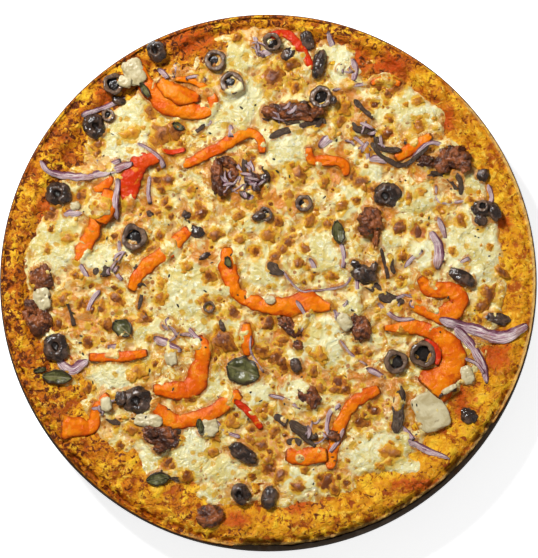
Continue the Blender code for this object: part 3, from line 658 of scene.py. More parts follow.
def brown_round(x, y, radius, darkness):
    """Brown the cheese in a ragged halo round a blister."""
    ends = [[int((v + side * 2.4 * radius) / PLAN_STEP + PLAN_CELLS / 2) for side in (-1, 1)] for v in (x, y)]
    window = tuple(slice(max(0, low), min(PLAN_CELLS, high + 2)) for low, high in ends)
    away = np.hypot(PLAN_X[window] - x, PLAN_Y[window] - y) / radius + HALO_WOBBLE[window]
    browning[window] = np.maximum(browning[window], darkness * np.clip((1.75 - away) / 0.9, 0, 1))


blisters = []
for px, py, radius_px, dark in BLISTERS:
    spot = place(px, py)
    blisters.append((spot.x, spot.y, radius_px * PIXEL, dark / 10))
dice = np.random.default_rng(41)
for x, y, radius, darkness in blisters[:]:
    for _ in range(dice.integers(0, 3)):
        way, apart = dice.uniform(0, math.tau), radius * dice.uniform(0.8, 1.25)
        blisters.append((x + apart * math.cos(way), y + apart * math.sin(way),
                         radius * dice.uniform(0.35, 0.75), darkness * dice.uniform(0.5, 1.0)))
clumps = plan_heap(16, 44, 2)
drawn_out_to = len(blisters) + SMALL_BLISTERS
while len(blisters) < drawn_out_to:
    x, y = dice.uniform(-RIM_RADIUS, RIM_RADIUS, 2)
    radius = (0.6 + 1.7 * dice.uniform(0, 1) ** 1.6) * MM
    darkness = dice.uniform(0.1, 1.0) ** 1.3
    keep = dice.uniform(0, 1)
    if read_plan(from_cheese_edge, x, y) < -1 * MM:
        continue
    in_pool = float(read_plan(pool, x, y))
    if keep > 0.75 + 0.5 * float(read_plan(clumps, x, y)) - 0.75 * in_pool:
        continue
    blisters.append((x, y, radius * (1 - 0.3 * in_pool), darkness * (1 - 0.5 * in_pool)))
for x, y, radius, darkness in blisters:
    brown_round(x, y, radius, 0.45 * darkness + 0.1)

# The cheese: mozzarella that melted into pale pools, with thinner stretches between them that
# bubbled and browned. It is one closed sheet of fine mesh, and its edge laps onto the dough.
CHEESE_LAP = 3.5 * MM
CHEESE_EDGE = 4.5 * MM
CHEESE_DEPTH = 29 * MM
# Where the cheese ran further out than elsewhere: centre and half widths in photo pixels
CHEESE_OVERRUNS = [
    (215, 500, 24, 14), (300, 498, 28, 14), (342, 490, 20, 14), (408, 466, 24, 18), (436, 112, 16, 16),
    (272, 36, 34, 12), (105, 150, 16, 20), (496, 300, 10, 30), (340, 42, 18, 12)
]
CHEESE_TONGUES = [
    (118, 438, 20, 24), (148, 474, 24, 20), (118, 462, 10, 12), (414, 470, 14, 10), (34, 262, 8, 16)
]
overrun = np.maximum(4.5 * MM * patches(CHEESE_OVERRUNS, 2), 13 * MM * patches(CHEESE_TONGUES, 1))
edge_wander = 2.6 * MM * plan_noise(13, 61) + 1.6 * MM * plan_noise(5, 62)
edge_room = from_cheese_edge + CHEESE_LAP + edge_wander + overrun
cheese_taper = np.clip(edge_room / CHEESE_EDGE, 0, 1)
cheese_taper = np.sqrt(cheese_taper) * cheese_taper ** 0.25
lumpy = plan_heap(6.5, 63, 3)
between = np.clip(1 - pool * 1.2, 0, 1)
cheese_field = (cheese_level - 0.2 * MM + 0.9 * MM * pool + between * (1.5 * MM * lumpy)
                + (1 - between) * (0.6 * MM * plan_noise(9, 64) + 0.3 * MM * plan_noise(3.5, 65)))
over_dough = crust_level + (0.8 * MM + 0.5 * MM * lumpy) * np.clip(overrun / (2 * MM), 0, 1)
cheese_field = np.where(overrun > 0.3 * MM, np.maximum(cheese_field, over_dough), cheese_field)
under_cheese = crust_level - 1.2 * MM
cheese_field = under_cheese + (cheese_field - under_cheese) * cheese_taper
ground = np.where(edge_room > 0, np.maximum(cheese_field, crust_level), crust_level)
topping_top = np.full(PLAN_X.shape, -1.0)
top_surface = ground.copy()

in_sheet = softened((edge_room > -0.4 * MM).astype(float), 2) > 0.5
cells = in_sheet[:-1, :-1] & in_sheet[1:, :-1] & in_sheet[:-1, 1:] & in_sheet[1:, 1:]
number = np.full(PLAN_X.shape, -1)
used = np.zeros(PLAN_X.shape, bool)
for di, dj in ((0, 0), (0, 1), (1, 0), (1, 1)):
    used[di:PLAN_CELLS + di, dj:PLAN_CELLS + dj] |= cells
number[used] = np.arange(used.sum())
i, j = np.nonzero(cells)
top_quads = np.stack([number[i, j], number[i + 1, j], number[i + 1, j + 1], number[i, j + 1]], -1)
sheet_points = np.stack([PLAN_X[used], PLAN_Y[used], cheese_field[used]], -1)
cheese = mesh_piece("melted_cheese", sheet_points, top_quads)
shape = bmesh.new()
shape.from_mesh(cheese.data)
rim_edges = [edge for edge in shape.edges if edge.is_boundary]
pulled = bmesh.ops.extrude_edge_only(shape, edges=rim_edges)["geom"]
under_rim = [part for part in pulled if isinstance(part, bmesh.types.BMVert)]
for vert in under_rim:
    vert.co = Vector((vert.co.x * 0.97, vert.co.y * 0.97, CHEESE_DEPTH))
bmesh.ops.edgeloop_fill(shape, edges=[edge for edge in shape.edges if edge.is_boundary])
bmesh.ops.recalc_face_normals(shape, faces=shape.faces)
shape.to_mesh(cheese.data)
shape.free()
cheese.data.shade_smooth()
sheet_size = int(used.sum())
sheet = points_of(cheese)
fields = {"pool": pool, "brown": browning, "edge": edge_room / MM, "lump": lumpy, "rich": rich}
for name, field in fields.items():
    store(cheese, name, read_plan(field, sheet[:, 0], sheet[:, 1]))

look = Look("browned_mozzarella")
mottle = look.noise(135, 4, 0.62, 0.9)
fine = look.noise(430, 4, 0.65, 0.5)
wide = look.noise(50, 3, 0.6)


def spots(scale, low, high):
    """Round spots with ragged edges, larger in some cells of a random pattern and none in others."""
    cells = wire(look.tree, "ShaderNodeTexVoronoi",
                 {"Vector": look.where, "Scale": scale, "Randomness": 1.0}).outputs
    chance = wire(look.tree, "ShaderNodeSeparateColor", {"Color": cells["Color"]}).outputs["Red"]
    reach = look.varied(cells["Distance"], mottle, 0.7)
    return look.step(look.math("SUBTRACT", reach, look.times(chance, 0.34)), high, low)


in_pool = look.step(look.varied(look.reading("pool"), mottle, 1.7), 0.20, 0.62)
golden_spot = spots(165, -0.02, 0.14)
brown_spot = spots(260, -0.06, 0.06)
# oil and painted shade: where the cheese's lumps dip, the colour turns a darker orange-brown
low = look.step(look.reading("lump"), 0.0, -0.45)
oil = look.step(look.varied(look.reading("rich"), mottle, 2.4), 0.35, 0.85)
bake = look.varied(look.reading("brown"), fine, 0.6)
# oil and painted shade: the cheese turns a darker oily brown close round the toppings
oil_and_shade_beside = look.times(look.step(look.reading("near"), 0.40, 1.0), look.step(mottle, 0.40, 0.54))
oily = look.step(look.reading("edge"), 3.4, 0.6)
pale_colour = look.painted((0.62, 0.5, 0.15),
                           (wide, 0.36, 0.62, (0.74, 0.68, 0.36)),
                           # painted highlight: near-white flecks on the pools where the fine noise is high
                           (fine, 0.50, 0.64, (0.80, 0.80, 0.60), 0.8),
                           (mottle, 0.55, 0.66, (0.64, 0.47, 0.09), 0.6))
cheese_colour = look.painted((0.74, 0.63, 0.27),
                             (mottle, 0.45, 0.57, (0.63, 0.36, 0.035)),
                             (mottle, 0.58, 0.66, (0.46, 0.165, 0.012)),
                             # painted highlight: pale streaks where the fine noise is high
                             (fine, 0.52, 0.63, (0.82, 0.75, 0.44), 0.9),
                             # oil and painted shade in the hollows between the lumps
                             (look.times(low, 0.65), (0.46, 0.17, 0.018)),
                             (wide, 0.52, 0.68, (0.64, 0.24, 0.016), 0.5),
                             (look.times(oil, 0.72), (0.58, 0.165, 0.008)),
                             (look.times(brown_spot, 0.85), (0.34, 0.095, 0.008)),
                             (in_pool, pale_colour),
                             (look.times(golden_spot, 0.90), (0.60, 0.33, 0.016)),
                             (bake, 0.06, 0.3, (0.66, 0.38, 0.028)),
                             (bake, 0.3, 0.56, (0.42, 0.11, 0.006)),
                             # oil and painted shade round the toppings
                             (look.times(oil_and_shade_beside, 0.85), (0.42, 0.14, 0.009)),
                             (look.times(oily, 0.75), (0.62, 0.22, 0.014)))
skin = look.plus(look.times(mottle, 1.5), look.times(fine, 0.4))
skin = look.plus(skin, look.times(brown_spot, 0.25))
melted = look.finish(cheese_colour, look.spread(mottle, 0.05, 0.30), (skin, 0.0015, 0.95), 0.42,
                     Subsurface_Weight=0.08, Subsurface_Radius=(0.003, 0.0018, 0.0008), Subsurface_Scale=1.0)
dress(cheese, melted, "cheese")

# The blisters: bubbles that rose in the cheese and browned, each a low glossy dome. They are
# spheres pressed into the cheese, cream at the foot and darkest where they stood nearest the heat.
LARGE_BLISTER = 2.0 * MM


def primitive(name, add, **settings):
    """One of Blender's own meshes, on its own and with a name."""
    bpy.ops.object.select_all(action="DESELECT")
    add(**settings)
    bpy.context.object.name = name
    return bpy.context.object


def turned(x, y, angle):
    """Places turned about the middle."""
    return x * math.cos(angle) - y * math.sin(angle), x * math.sin(angle) + y * math.cos(angle)


def many_from_ball(name, subdivisions, shapes, readings):
    """One piece made of many reshaped copies of a sphere, each with its own surface readings."""
    pattern = primitive("pattern", bpy.ops.mesh.primitive_ico_sphere_add, subdivisions=subdivisions, radius=1)
    ball = points_of(pattern)
    faces = np.array([face.vertices for face in pattern.data.polygons])
    bpy.data.objects.remove(pattern)
    piece = mesh_piece(name, np.concatenate([shape(ball) for shape in shapes]),
                       np.concatenate([faces + k * len(ball) for k in range(len(shapes))]))
    store(piece, "up", np.tile(ball[:, 2], len(shapes)))
    store(piece, "dark", np.repeat(readings, len(ball)))
    return piece


def blister_shape(x, y, radius, seed):
    rough = np.random.default_rng(seed)
    stretch, angle = rough.uniform(0.95, 1.38), rough.uniform(0, math.pi)
    height = min(0.50 * radius, 0.6 * MM + 0.14 * radius)
    foot = float(read_plan(cheese_field, x, y)) - height * 0.50

    def shape(ball):
        u, v = turned(ball[:, 0] * radius * stretch, ball[:, 1] * radius / stretch, angle)
        dented = (1 + 0.50 * uneven(ball[:, 0] * 1.3, ball[:, 1] * 1.3, 1.0, seed)
                  + 0.26 * uneven(ball[:, 0] * 2.9, ball[:, 1] * 2.9, 1.0, seed + 1))
        bumps = 1 + 0.30 * uneven(ball[:, 0] * 2.2, ball[:, 1] * 2.2, 1.0, seed + 2)
        return np.stack([x + u * dented, y + v * dented, foot + ball[:, 2] * height * 1.5 * bumps], -1)
    return shape


on_cheese = [(blister, k) for k, blister in enumerate(blisters)
             if read_plan(edge_room, *blister[:2]) > 2 * MM]
blistered = []
for name, subdivisions, large in (("cheese_blisters", 3, True), ("small_blisters", 2, False)):
    group = [(blister, k) for blister, k in on_cheese if (blister[2] > LARGE_BLISTER) == large]
    shapes = [blister_shape(*blister[:3], 4000 + 3 * k) for blister, k in group]
    blistered.append(many_from_ball(name, subdivisions, shapes, [blister[3] for blister, k in group]))

look = Look("scorched_blister")
char = look.noise(330, 4, 0.65, 0.6)
heat = look.varied(look.varied(look.times(look.reading("dark"), 1.15), look.reading("up"), 1.1), char, 2.0)
blister_colour = look.painted((0.7, 0.44, 0.055),
                              (heat, 0.2, 0.65, (0.58, 0.24, 0.012)),
                              (heat, 0.65, 1.15, (0.36, 0.115, 0.01)),
                              (heat, 1.1, 1.6, (0.14, 0.034, 0.004)))
scorched = look.finish(blister_colour, 0.12, (char, 0.0012, 0.8), 0.30)
for piece in blistered:
    dress(piece, scorched)

# The peppers: orange and red sweet pepper cut into strips, skin side up, roasted until the cut
# edges darkened. Each strip is a grid bent along its route, given thickness and rounded.
# A strip's entry has its widths in millimetres and its route in photo pixels. A pepper's ends
# with how red it is at either end. Each piece has its own seed: a start for its kind and a step.
PEPPER_WALL = 2.8 * MM
PEPPERS = [
    ("pepper_fold_upper_left", (6, 11, 14, 11, 7, 5, 4), [(141, 64), (150, 90), (172, 105), (204, 112),
     (213, 99), (196, 82), (174, 79)], 0.35, 0.2),
    ("pepper_arc_top", (5, 6, 5), [(268, 36), (286, 34), (300, 47), (314, 70)], 0.9, 0.9),
    ("pepper_arch", (5, 7, 8, 7, 5), [(180, 166), (212, 152), (246, 133), (260, 140),
     (262, 154)], 0.0, 0.25),
    ("pepper_curl_left", (7, 13, 15, 9), [(160, 158), (139, 164), (129, 185), (131, 207)], 0.6, 1.0),
    ("pepper_tail_left", (12, 11, 7), [(98, 198), (95, 225), (84, 247), (76, 262)], 0.3, 0.3),
    ("pepper_diagonal_left", (9, 10, 8), [(189, 228), (168, 250), (142, 270), (130, 291)], 0.0, 0.0),
    ("pepper_hook_centre", (12, 10, 9, 10, 12, 14, 6), [(227, 246), (228, 272), (238, 294), (262, 305),
     (285, 307), (306, 303), (332, 307)], 0.3, 0.0),
    ("pepper_bar_centre", (7, 9, 7), [(246, 322), (247, 340), (247, 357)], 0.2, 0.5),
    ("pepper_angle_top", (5.5, 7, 6), [(309, 146), (311, 160), (328, 160), (343, 164),
     (346, 177)], 0.3, 0.4),
    ("pepper_loop_right", (9, 11, 12, 8), [(419, 277), (432, 289), (454, 292), (460, 304), (441, 315),
     (411, 303)], 0.3, 0.1),
    ("pepper_hook_right", (7, 9, 12, 17, 24), [(383, 328), (420, 328), (447, 343), (453, 366),
     (430, 392)], 0.3, 0.0),
    ("pepper_arc_lower", (7, 9, 7), [(380, 388), (355, 402), (339, 427), (330, 470)], 0.0, 0.2),
    ("pepper_bar_lower", (9, 12, 11), [(285, 455), (306, 457), (328, 455)], 0.5, 0.1),
    ("pepper_hook_lower_left", (6, 9, 15), [(108, 393), (97, 408), (90, 427), (61, 426)], 0.4, 0.1),
    ("pepper_arc_lower_left", (8, 11, 8), [(150, 402), (175, 421), (210, 413), (241, 393)], 0.1, 0.0),
    ("pepper_crescent_lower_left", (8, 14, 9), [(197, 336), (203, 358), (188, 389), (152, 390)], 0.1, 0.2),
    ("pepper_band_left", (5.5, 6.5, 5.5), [(88, 357), (118, 357), (148, 353)], 0.4, 0.2),
    ("pepper_sliver_lower", (4, 5, 4), [(234, 400), (252, 416), (262, 430)], 0.9, 0.9)
]
MORE_PEPPERS = [
    ((3.5, 4.5, 4), [(370, 84), (385, 79), (402, 84)], 0.1, 0.1),
    ((5, 8, 7), [(432, 134), (413, 147), (395, 159)], 0.1, 0.0),
    ((3, 3.5, 3), [(160, 150), (172, 152), (186, 149)], 0.8, 0.8),
    ((4, 6, 5), [(113, 176), (104, 186), (92, 190)], 0.4, 0.3),
    ((8, 12, 8), [(158, 80), (174, 92), (200, 98)], 0.2, 0.1),
    ((8, 15, 11), [(108, 188), (106, 206), (100, 224)], 0.3, 0.2),
    ((3, 5, 4), [(424, 339), (437, 350), (437, 366)], 1.1, 1.1)
]


def route_through(stops, spacing):
    """Evenly spaced places on a smooth line through photo pixels, and the line's length."""
    knots = np.array([place(px, py)[:2] for px, py in stops])
    padded = np.vstack([2 * knots[0] - knots[1], knots, 2 * knots[-1] - knots[-2]])
    t = np.linspace(0, 1, 24, endpoint=False)[:, None]
    runs = [(2 * b + (c - a) * t + (2 * a - 5 * b + 4 * c - d) * t * t + (3 * b - a - 3 * c + d) * t ** 3) / 2
            for a, b, c, d in zip(padded, padded[1:], padded[2:], padded[3:])]
    dense = np.vstack(runs + [knots[-1:]])
    travelled = np.concatenate([[0], np.cumsum(np.hypot(*np.diff(dense, axis=0).T))])
    even = np.linspace(0, travelled[-1], max(8, int(travelled[-1] / spacing)) + 1)
    return np.stack([np.interp(even, travelled, dense[:, k]) for k in (0, 1)], -1), travelled[-1]


def eased(values, reach):
    """A list of numbers, each made the mean of those within reach of it."""
    padded = np.pad(values, reach, mode="edge")
    return np.convolve(padded, np.ones(2 * reach + 1) / (2 * reach + 1), mode="valid")


def modify(piece, kind, **settings):
    """Add a modifier to a piece and apply it."""
    bpy.ops.object.select_all(action="DESELECT")
    bpy.context.view_layer.objects.active = piece
    piece.select_set(True)
    modifier = piece.modifiers.new(kind.lower(), kind)
    for key, value in settings.items():
        setattr(modifier, key, value)
    bpy.ops.object.modifier_apply(modifier=modifier.name)
    piece.select_set(False)


def lay_down(points):
    """Note where a piece lies and how high it reaches, so that the next one can lie on it."""
    i, j = (np.floor(points[:, axis] / PLAN_STEP + PLAN_CELLS / 2).astype(int) for axis in (0, 1))
    for di, dj in ((0, 0), (0, 1), (1, 0), (1, 1)):
        np.maximum.at(topping_top, (i + di, j + dj), points[:, 2])
    np.maximum(top_surface, topping_top, out=top_surface)


def laid_strip(name, stops, widths, thick, seed, columns=6, sink=0.8 * MM, arch=0.10, ragged=0.12,
               spacing=1.2 * MM, taper=0.55):
    """A strip laid along a route on what is there already: grid, thickness, rounding."""
    line, length = route_through(stops, spacing)
    count = len(line)
    heading = np.gradient(line, axis=0)
    heading /= np.linalg.norm(heading, axis=1)[:, None]
    aside = np.stack([-heading[:, 1], heading[:, 0]], -1)
    share = np.linspace(0, 1, count)
    half = np.interp(share, np.linspace(0, 1, len(widths)), np.array(widths)) / 2 * MM
    blunt_start, blunt_end = np.random.default_rng(seed).uniform(0.5, 1.3, 2) * taper
    if widths[-1] == max(widths):
        blunt_end = 0.95
    blunt = np.where(share < 0.5, blunt_start, blunt_end).clip(0.1, 0.95)
    to_end = np.minimum(share, 1 - share) * length
    half = half * (blunt + (1 - blunt) * np.clip(to_end / (1.3 * half.max()), 0, 1) ** 0.5)
    levels = [read_plan(top_surface, *(line + aside * (half * k)[:, None]).T)
              for k in (-0.8, -0.4, 0, 0.4, 0.8)]
    level = eased(np.sort(levels, axis=0)[-2], 3) - sink
    lean = eased(levels[4] - levels[0], 3) * 0.35

    piece = primitive(name, bpy.ops.mesh.primitive_grid_add, x_subdivisions=count - 1, y_subdivisions=columns,
                      size=1)
    grid = points_of(piece)
    along, across = grid[:, 0] + 0.5, grid[:, 1] * 2
    row = along * (count - 1)

    def here(values):
        return np.interp(row, np.arange(count), values)

    wobble = 1 + ragged * uneven(along * length + 0.01 * np.sign(across), across * 0, 4 * MM, seed)
    wobble = wobble + 1.6 * ragged * uneven(along * length, np.sign(across) * 0.02, 11 * MM, seed + 4)
    offset = across * here(half) * wobble
    x = here(line[:, 0]) + here(aside[:, 0]) * offset
    y = here(line[:, 1]) + here(aside[:, 1]) * offset
    swing = 0.45 * MM * uneven(along * length, across * 0, 8 * MM, seed + 1)
    swing = swing + 0.4 * MM * uneven(along * length, across * 2.5 * MM, 5 * MM, seed + 3)
    z = here(level) + thick + swing + here(half) * 2 * arch * (1 - across ** 2) + here(lean) * across * 0.5
    set_points(piece, np.stack([x, y, z], -1))
    store(piece, "along", along * length / MM)
    store(piece, "across", across)
    store(piece, "end", np.minimum(along, 1 - along) * length / MM)
    store(piece, "tone", along)
    modify(piece, "SOLIDIFY", thickness=thick, offset=-1.0)
    modify(piece, "SUBSURF", levels=1)
    points = points_of(piece)
    points[:, 2] += 0.28 * MM * rough_heap(points[:, 0], points[:, 1], 2.6 * MM, seed + 2, 2)
    ripples = [uneven(points[:, 0], points[:, 1], 1.7 * MM, seed + k) for k in (3, 4)]
    points[:, :2] += 0.12 * MM * np.stack(ripples, -1)
    set_points(piece, points)
    piece.data.shade_smooth()
    lay_down(points)
    return piece


def joined(pieces, name):
    """Several pieces of one kind made one."""
    bpy.ops.object.select_all(action="DESELECT")
    for piece in pieces:
        piece.select_set(True)
    bpy.context.view_layer.objects.active = pieces[0]
    bpy.ops.object.join()
    pieces[0].name = name
    pieces[0].select_set(False)
    return pieces[0]


look = Look("roast_pepper")
soft_patch = look.noise(90, 4, 0.62, 0.5)
pores = look.noise(420, 4, 0.65, 0.4)
film = look.noise(125, 3, 0.6, 0.8)
red_share = look.plus(look.reading("red"), look.times(soft_patch, 0.6))
rim_share = look.plus(look.math("ABSOLUTE", look.reading("across")), look.times(pores, 0.6))
scorch = look.plus(look.times(pores, 1.2), look.step(look.reading("end"), 2.4, 0.0))
pepper_colour = look.painted((0.66, 0.095, 0.0005),
                             (soft_patch, 0.36, 0.58, (0.78, 0.195, 0.001)),
                             (red_share, 0.5, 1.2, (0.56, 0.026, 0.002)),
                             (rim_share, 0.8, 1.3, (0.34, 0.024, 0.002), 0.85),
                             (scorch, 0.8, 1.4, (0.11, 0.014, 0.003), 0.85),
                             (film, 0.57, 0.67, (0.74, 0.30, 0.012), 0.5),
                             (film, 0.42, 0.32, (0.52, 0.06, 0.002), 0.8))
roast = look.finish(pepper_colour, 0.22, (look.plus(look.times(soft_patch, 2.4), pores), 0.0008, 0.8), 0.16)


def laid_pepper(name, stops, widths, red_start, red_end, seed, node=None):
    piece = laid_strip(name, stops, widths, PEPPER_WALL, seed, sink=1.2 * MM, ragged=0.20, taper=0.62)
    tone = np.empty(len(piece.data.vertices))
    piece.data.attributes["tone"].data.foreach_get("value", tone)
    store(piece, "red", red_start + (red_end - red_start) * tone)
    dress(piece, roast, node)


for k, (node, widths, stops, *reds) in enumerate(PEPPERS):
    laid_pepper("roast_" + node, stops, widths, *reds, 200 + 5 * k, node)
for k, (widths, stops, *reds) in enumerate(MORE_PEPPERS):
    laid_pepper("roast_pepper_scrap_" + str(k + 1), stops, widths, *reds, 320 + 5 * k)

# The onions: red onion sliced thin. Each shred is a curved leaf of the bulb, nearly white in
# the middle and purple along the edge that was its skin, softened and browned at the tips.
ONION_LEAF = 1.0 * MM
ONION_ARC = 1.9 * MM
ONIONS = [
    ("onion_arc_left", (3, 5.5, 4), [(40, 160), (52, 173), (89, 176), (133, 163)]),
    ("onion_wide_right", (5, 6.5, 5), [(431, 231), (439, 249), (437, 270)]),
    ("onion_arc_right", (5, 8, 6), [(439, 319), (475, 330), (503, 337), (528, 325)]),
    ("onion_band_right", (6, 6, 3), [(455, 328), (470, 343), (483, 365), (487, 384)])
]
ONION_SHREDS = [
    ((3.4, 3.4), [(81, 116), (104, 107), (125, 98)]),
    ((2, 2.6, 3.4), [(137, 143), (150, 150), (160, 158), (164, 168)]),
    ((4, 4, 3), [(118, 178), (116, 200), (117, 220)]), ((2.5, 4, 3), [(254, 32), (258, 48), (263, 60)]),
    ((4, 4), [(260, 56), (266, 52), (272, 49)]), ((3.6, 4, 3), [(352, 58), (355, 68), (353, 82)]),
    ((1.7, 2), [(332, 90), (345, 87), (366, 83)]), ((6, 6.5, 5), [(319, 148), (326, 140), (334, 131)]),
    ((3.5, 4.5), [(196, 130), (203, 126), (211, 120)]),
    ((3.2, 3.6), [(230, 124), (231, 130), (231, 137)]),
    ((2.4, 3, 2.4), [(234, 160), (240, 172), (236, 186)]),
    ((3, 3.4, 2), [(246, 156), (252, 168), (250, 182)]),
    ((2, 3, 3), [(228, 186), (242, 192), (258, 190)]), ((2.4, 2.4), [(352, 134), (366, 148), (369, 160)]),
    ((4, 5, 4), [(369, 159), (380, 158), (392, 162)]),
    ((3, 3, 2.6), [(411, 162), (421, 149), (431, 142), (449, 147)]),
    ((3, 3.4, 2.4), [(438, 217), (443, 228), (446, 240)]),
    ((2, 2, 1.8), [(436, 185), (439, 201), (454, 202), (469, 200)]),
    ((3, 3.4), [(488, 184), (492, 196), (490, 206)]), ((3, 3, 2.4), [(378, 303), (396, 318), (415, 319)]),
    ((2.4, 2.4), [(464, 358), (477, 364), (484, 374)]),
    ((1.6, 1.8, 1.6), [(340, 340), (352, 355), (368, 366)]),
    ((3, 4, 3), [(366, 368), (375, 373), (386, 378)]),
    ((4, 4.4, 2), [(405, 440), (425, 449), (450, 459)]), ((2.6, 3), [(175, 316), (190, 330), (201, 341)]),
    ((4.6, 5.4, 4), [(153, 337), (168, 345), (182, 351)]), ((5, 7, 6), [(57, 360), (72, 370), (88, 360)]),
    ((4, 5, 4), [(63, 214), (72, 213), (82, 212)]), ((2.6, 3), [(78, 262), (84, 271), (89, 281)]),
    ((2.6, 3), [(119, 240), (120, 252), (118, 263)]), ((2.6, 2.8), [(110, 263), (116, 273), (122, 280)]),
    ((3, 3.2), [(340, 240), (344, 254), (343, 268)]), ((3, 3.2), [(309, 258), (314, 265), (316, 273)]),
    ((1.3, 1.6, 1.6, 1.3), [(276, 263), (298, 289), (312, 291), (343, 286), (353, 273)]),
    ((3.6, 3), [(336, 316), (342, 326), (352, 314)]), ((4, 4), [(107, 347), (113, 347), (121, 346)]),
    ((3.2, 3.2), [(341, 404), (329, 415), (327, 440)]),
    ((1.2, 1.5), [(251, 335), (251, 352), (264, 373)]), ((3.6, 3.6), [(177, 62), (175, 69), (172, 77)]),
    ((3.2, 3.6), [(157, 68), (163, 72), (168, 78)]), ((3.4, 4), [(328, 31), (330, 38), (333, 46)]),
    ((2.2, 2.6), [(185, 78), (196, 76), (206, 80)]), ((2.4, 3), [(352, 262), (357, 282), (356, 300)]),
    ((2, 2.4), [(350, 300), (343, 312), (338, 322)]), ((2.6, 3), [(96, 160), (108, 164), (121, 160)]),
    ((3, 3), [(100, 290), (92, 300), (88, 312)]), ((2.2, 2.4), [(268, 395), (286, 400), (301, 409)]),
    ((2.6, 3), [(344, 428), (338, 442), (330, 452)]), ((2.2, 2.6), [(456, 270), (462, 262), (470, 258)]),
    ((2, 2.4), [(215, 420), (226, 432), (240, 437)]), ((2.4, 2.6), [(150, 176), (148, 190), (150, 204)]),
    ((2.2, 2.4), [(296, 300), (306, 318), (300, 332)]), ((2.4, 3), [(404, 268), (412, 258), (423, 250)]),
    ((2.6, 3), [(392, 422), (404, 428), (414, 440)])
]


def strip_vector(along_scale, across_scale):
    """A vector that follows a strip: its length one way, its width the other."""
    sides = {"X": look.times(look.reading("along"), along_scale),
             "Y": look.times(look.reading("across"), across_scale)}
    return wire(look.tree, "ShaderNodeCombineXYZ", sides).outputs[0]


look = Look("red_onion")
veins = look.noise(2.4, 3, 0.55, vector=strip_vector(0.045, 3.4))
cooked = look.noise(130, 4, 0.6, 0.5)
skin_side = look.plus(look.reading("across"), look.times(veins, 0.7))
tip = look.times(look.step(look.reading("end"), 2.6, 0.2), look.step(cooked, 0.40, 0.55))
onion_colour = look.painted((0.68, 0.57, 0.53),
                            (veins, 0.42, 0.56, (0.36, 0.165, 0.225)),
                            (veins, 0.55, 0.62, (0.14, 0.024, 0.062)),
                            (skin_side, 0.62, 1.0, (0.12, 0.02, 0.052)),
                            (cooked, 0.5, 0.68, (0.36, 0.17, 0.1), 0.55),
                            (tip, (0.045, 0.018, 0.016)))
lilac = look.finish(onion_colour, 0.30, (look.plus(veins, cooked), 0.0007, 0.8), Subsurface_Weight=0.10,
                    Subsurface_Radius=(0.002, 0.0012, 0.001), Subsurface_Scale=1.0)
for k, (node, widths, stops) in enumerate(ONIONS):
    piece = laid_strip("red_" + node, stops, widths, ONION_ARC, 400 + 5 * k, sink=0.6 * MM, ragged=0.20,
                       taper=0.4)
    dress(piece, lilac, node)
shreds = [laid_strip("shred", stops, widths, ONION_LEAF, 440 + 5 * k, columns=5, sink=0.60 * MM,
                     ragged=0.24, spacing=1.3 * MM, taper=0.4)
          for k, (widths, stops) in enumerate(ONION_SHREDS)]
dress(joined(shreds, "onion_shreds"), lilac)

# The mushrooms: thin slices of brown mushroom, and dark strings of its skin, dried in the oven.
# They lie loose on the cheese, which holds them where it rose round their edges.
MUSHROOM_SLICE = 2.4 * MM
MUSHROOM_STRING = 1.3 * MM
MUSHROOMS = [
    ("mushroom_arc_upper", (4, 4, 3), [(352, 128), (373, 132), (379, 147), (402, 150)]),
    ("mushroom_slice_middle", (6, 7, 6), [(289, 421), (303, 430), (318, 438)]),
    ("mushroom_slice_lower_right", (7, 8, 7), [(402, 388), (398, 411), (396, 434)])
]
MUSHROOM_SHREDS = [
    ((3.4, 4, 4), [(269, 138), (289, 129), (306, 124), (326, 121)]),
    ((3.2, 3.4), [(354, 99), (362, 108), (373, 118)]),
    ((3.2, 3.6, 3.4, 3), [(426, 178), (439, 172), (451, 173), (461, 181), (461, 195)]),
    ((5, 7, 4), [(268, 262), (275, 270), (284, 274)]), ((6, 7), [(286, 441), (293, 442), (301, 444)]),
    ((5, 5), [(274, 416), (280, 419), (287, 423)]), ((6, 7, 5), [(369, 281), (382, 294), (405, 303)]),
    ((2.4, 2.4), [(66, 300), (70, 312), (74, 326)]), ((2, 2.2), [(381, 248), (385, 262), (388, 279)]),
    ((6, 6.5), [(92, 272), (101, 271), (110, 270)]), ((3, 3), [(122, 253), (129, 261), (137, 268)]),
    ((5, 6), [(357, 296), (357, 304), (357, 312)]), ((2.6, 2.6), [(137, 286), (143, 284), (146, 292)]),
    ((2.4, 2.2), [(142, 290), (141, 300), (138, 310)]), ((2.4, 3), [(246, 152), (244, 168), (248, 186)]),
    ((3, 3.4), [(262, 166), (268, 176), (266, 188)]), ((2.6, 3), [(294, 430), (306, 440), (316, 446)]),
    ((2.8, 2.4), [(322, 118), (316, 128), (306, 133)]), ((3.4, 3), [(392, 258), (393, 266), (395, 274)]),
    ((2.4, 2.6), [(205, 124), (199, 130), (192, 133)]), ((2.8, 3), [(396, 380), (402, 392), (400, 402)]),
    ((2.2, 2.4), [(438, 398), (446, 392), (457, 389)]),
    ((2.6, 2.8), [(160, 470), (170, 477), (180, 480)]),
    ((2.4, 3.2, 3, 2), [(371, 142), (383, 157), (402, 165), (419, 155), (429, 145)]),
    ((2.6, 3.4, 2.6), [(352, 122), (358, 130), (371, 133)]),
    ((3, 4, 3), [(131, 418), (145, 428), (158, 434)]), ((2.4, 3), [(152, 422), (166, 430), (181, 433)]),
    ((3, 3.4), [(103, 414), (111, 420), (120, 424)]),
    ((2.6, 3, 2.4), [(376, 222), (378, 234), (375, 246)]),
    ((3, 3.6, 3), [(356, 268), (364, 282), (374, 292)]), ((2.4, 3), [(430, 172), (446, 176), (457, 190)]),
    ((2.2, 2.6), [(262, 118), (280, 124), (300, 121)])
]

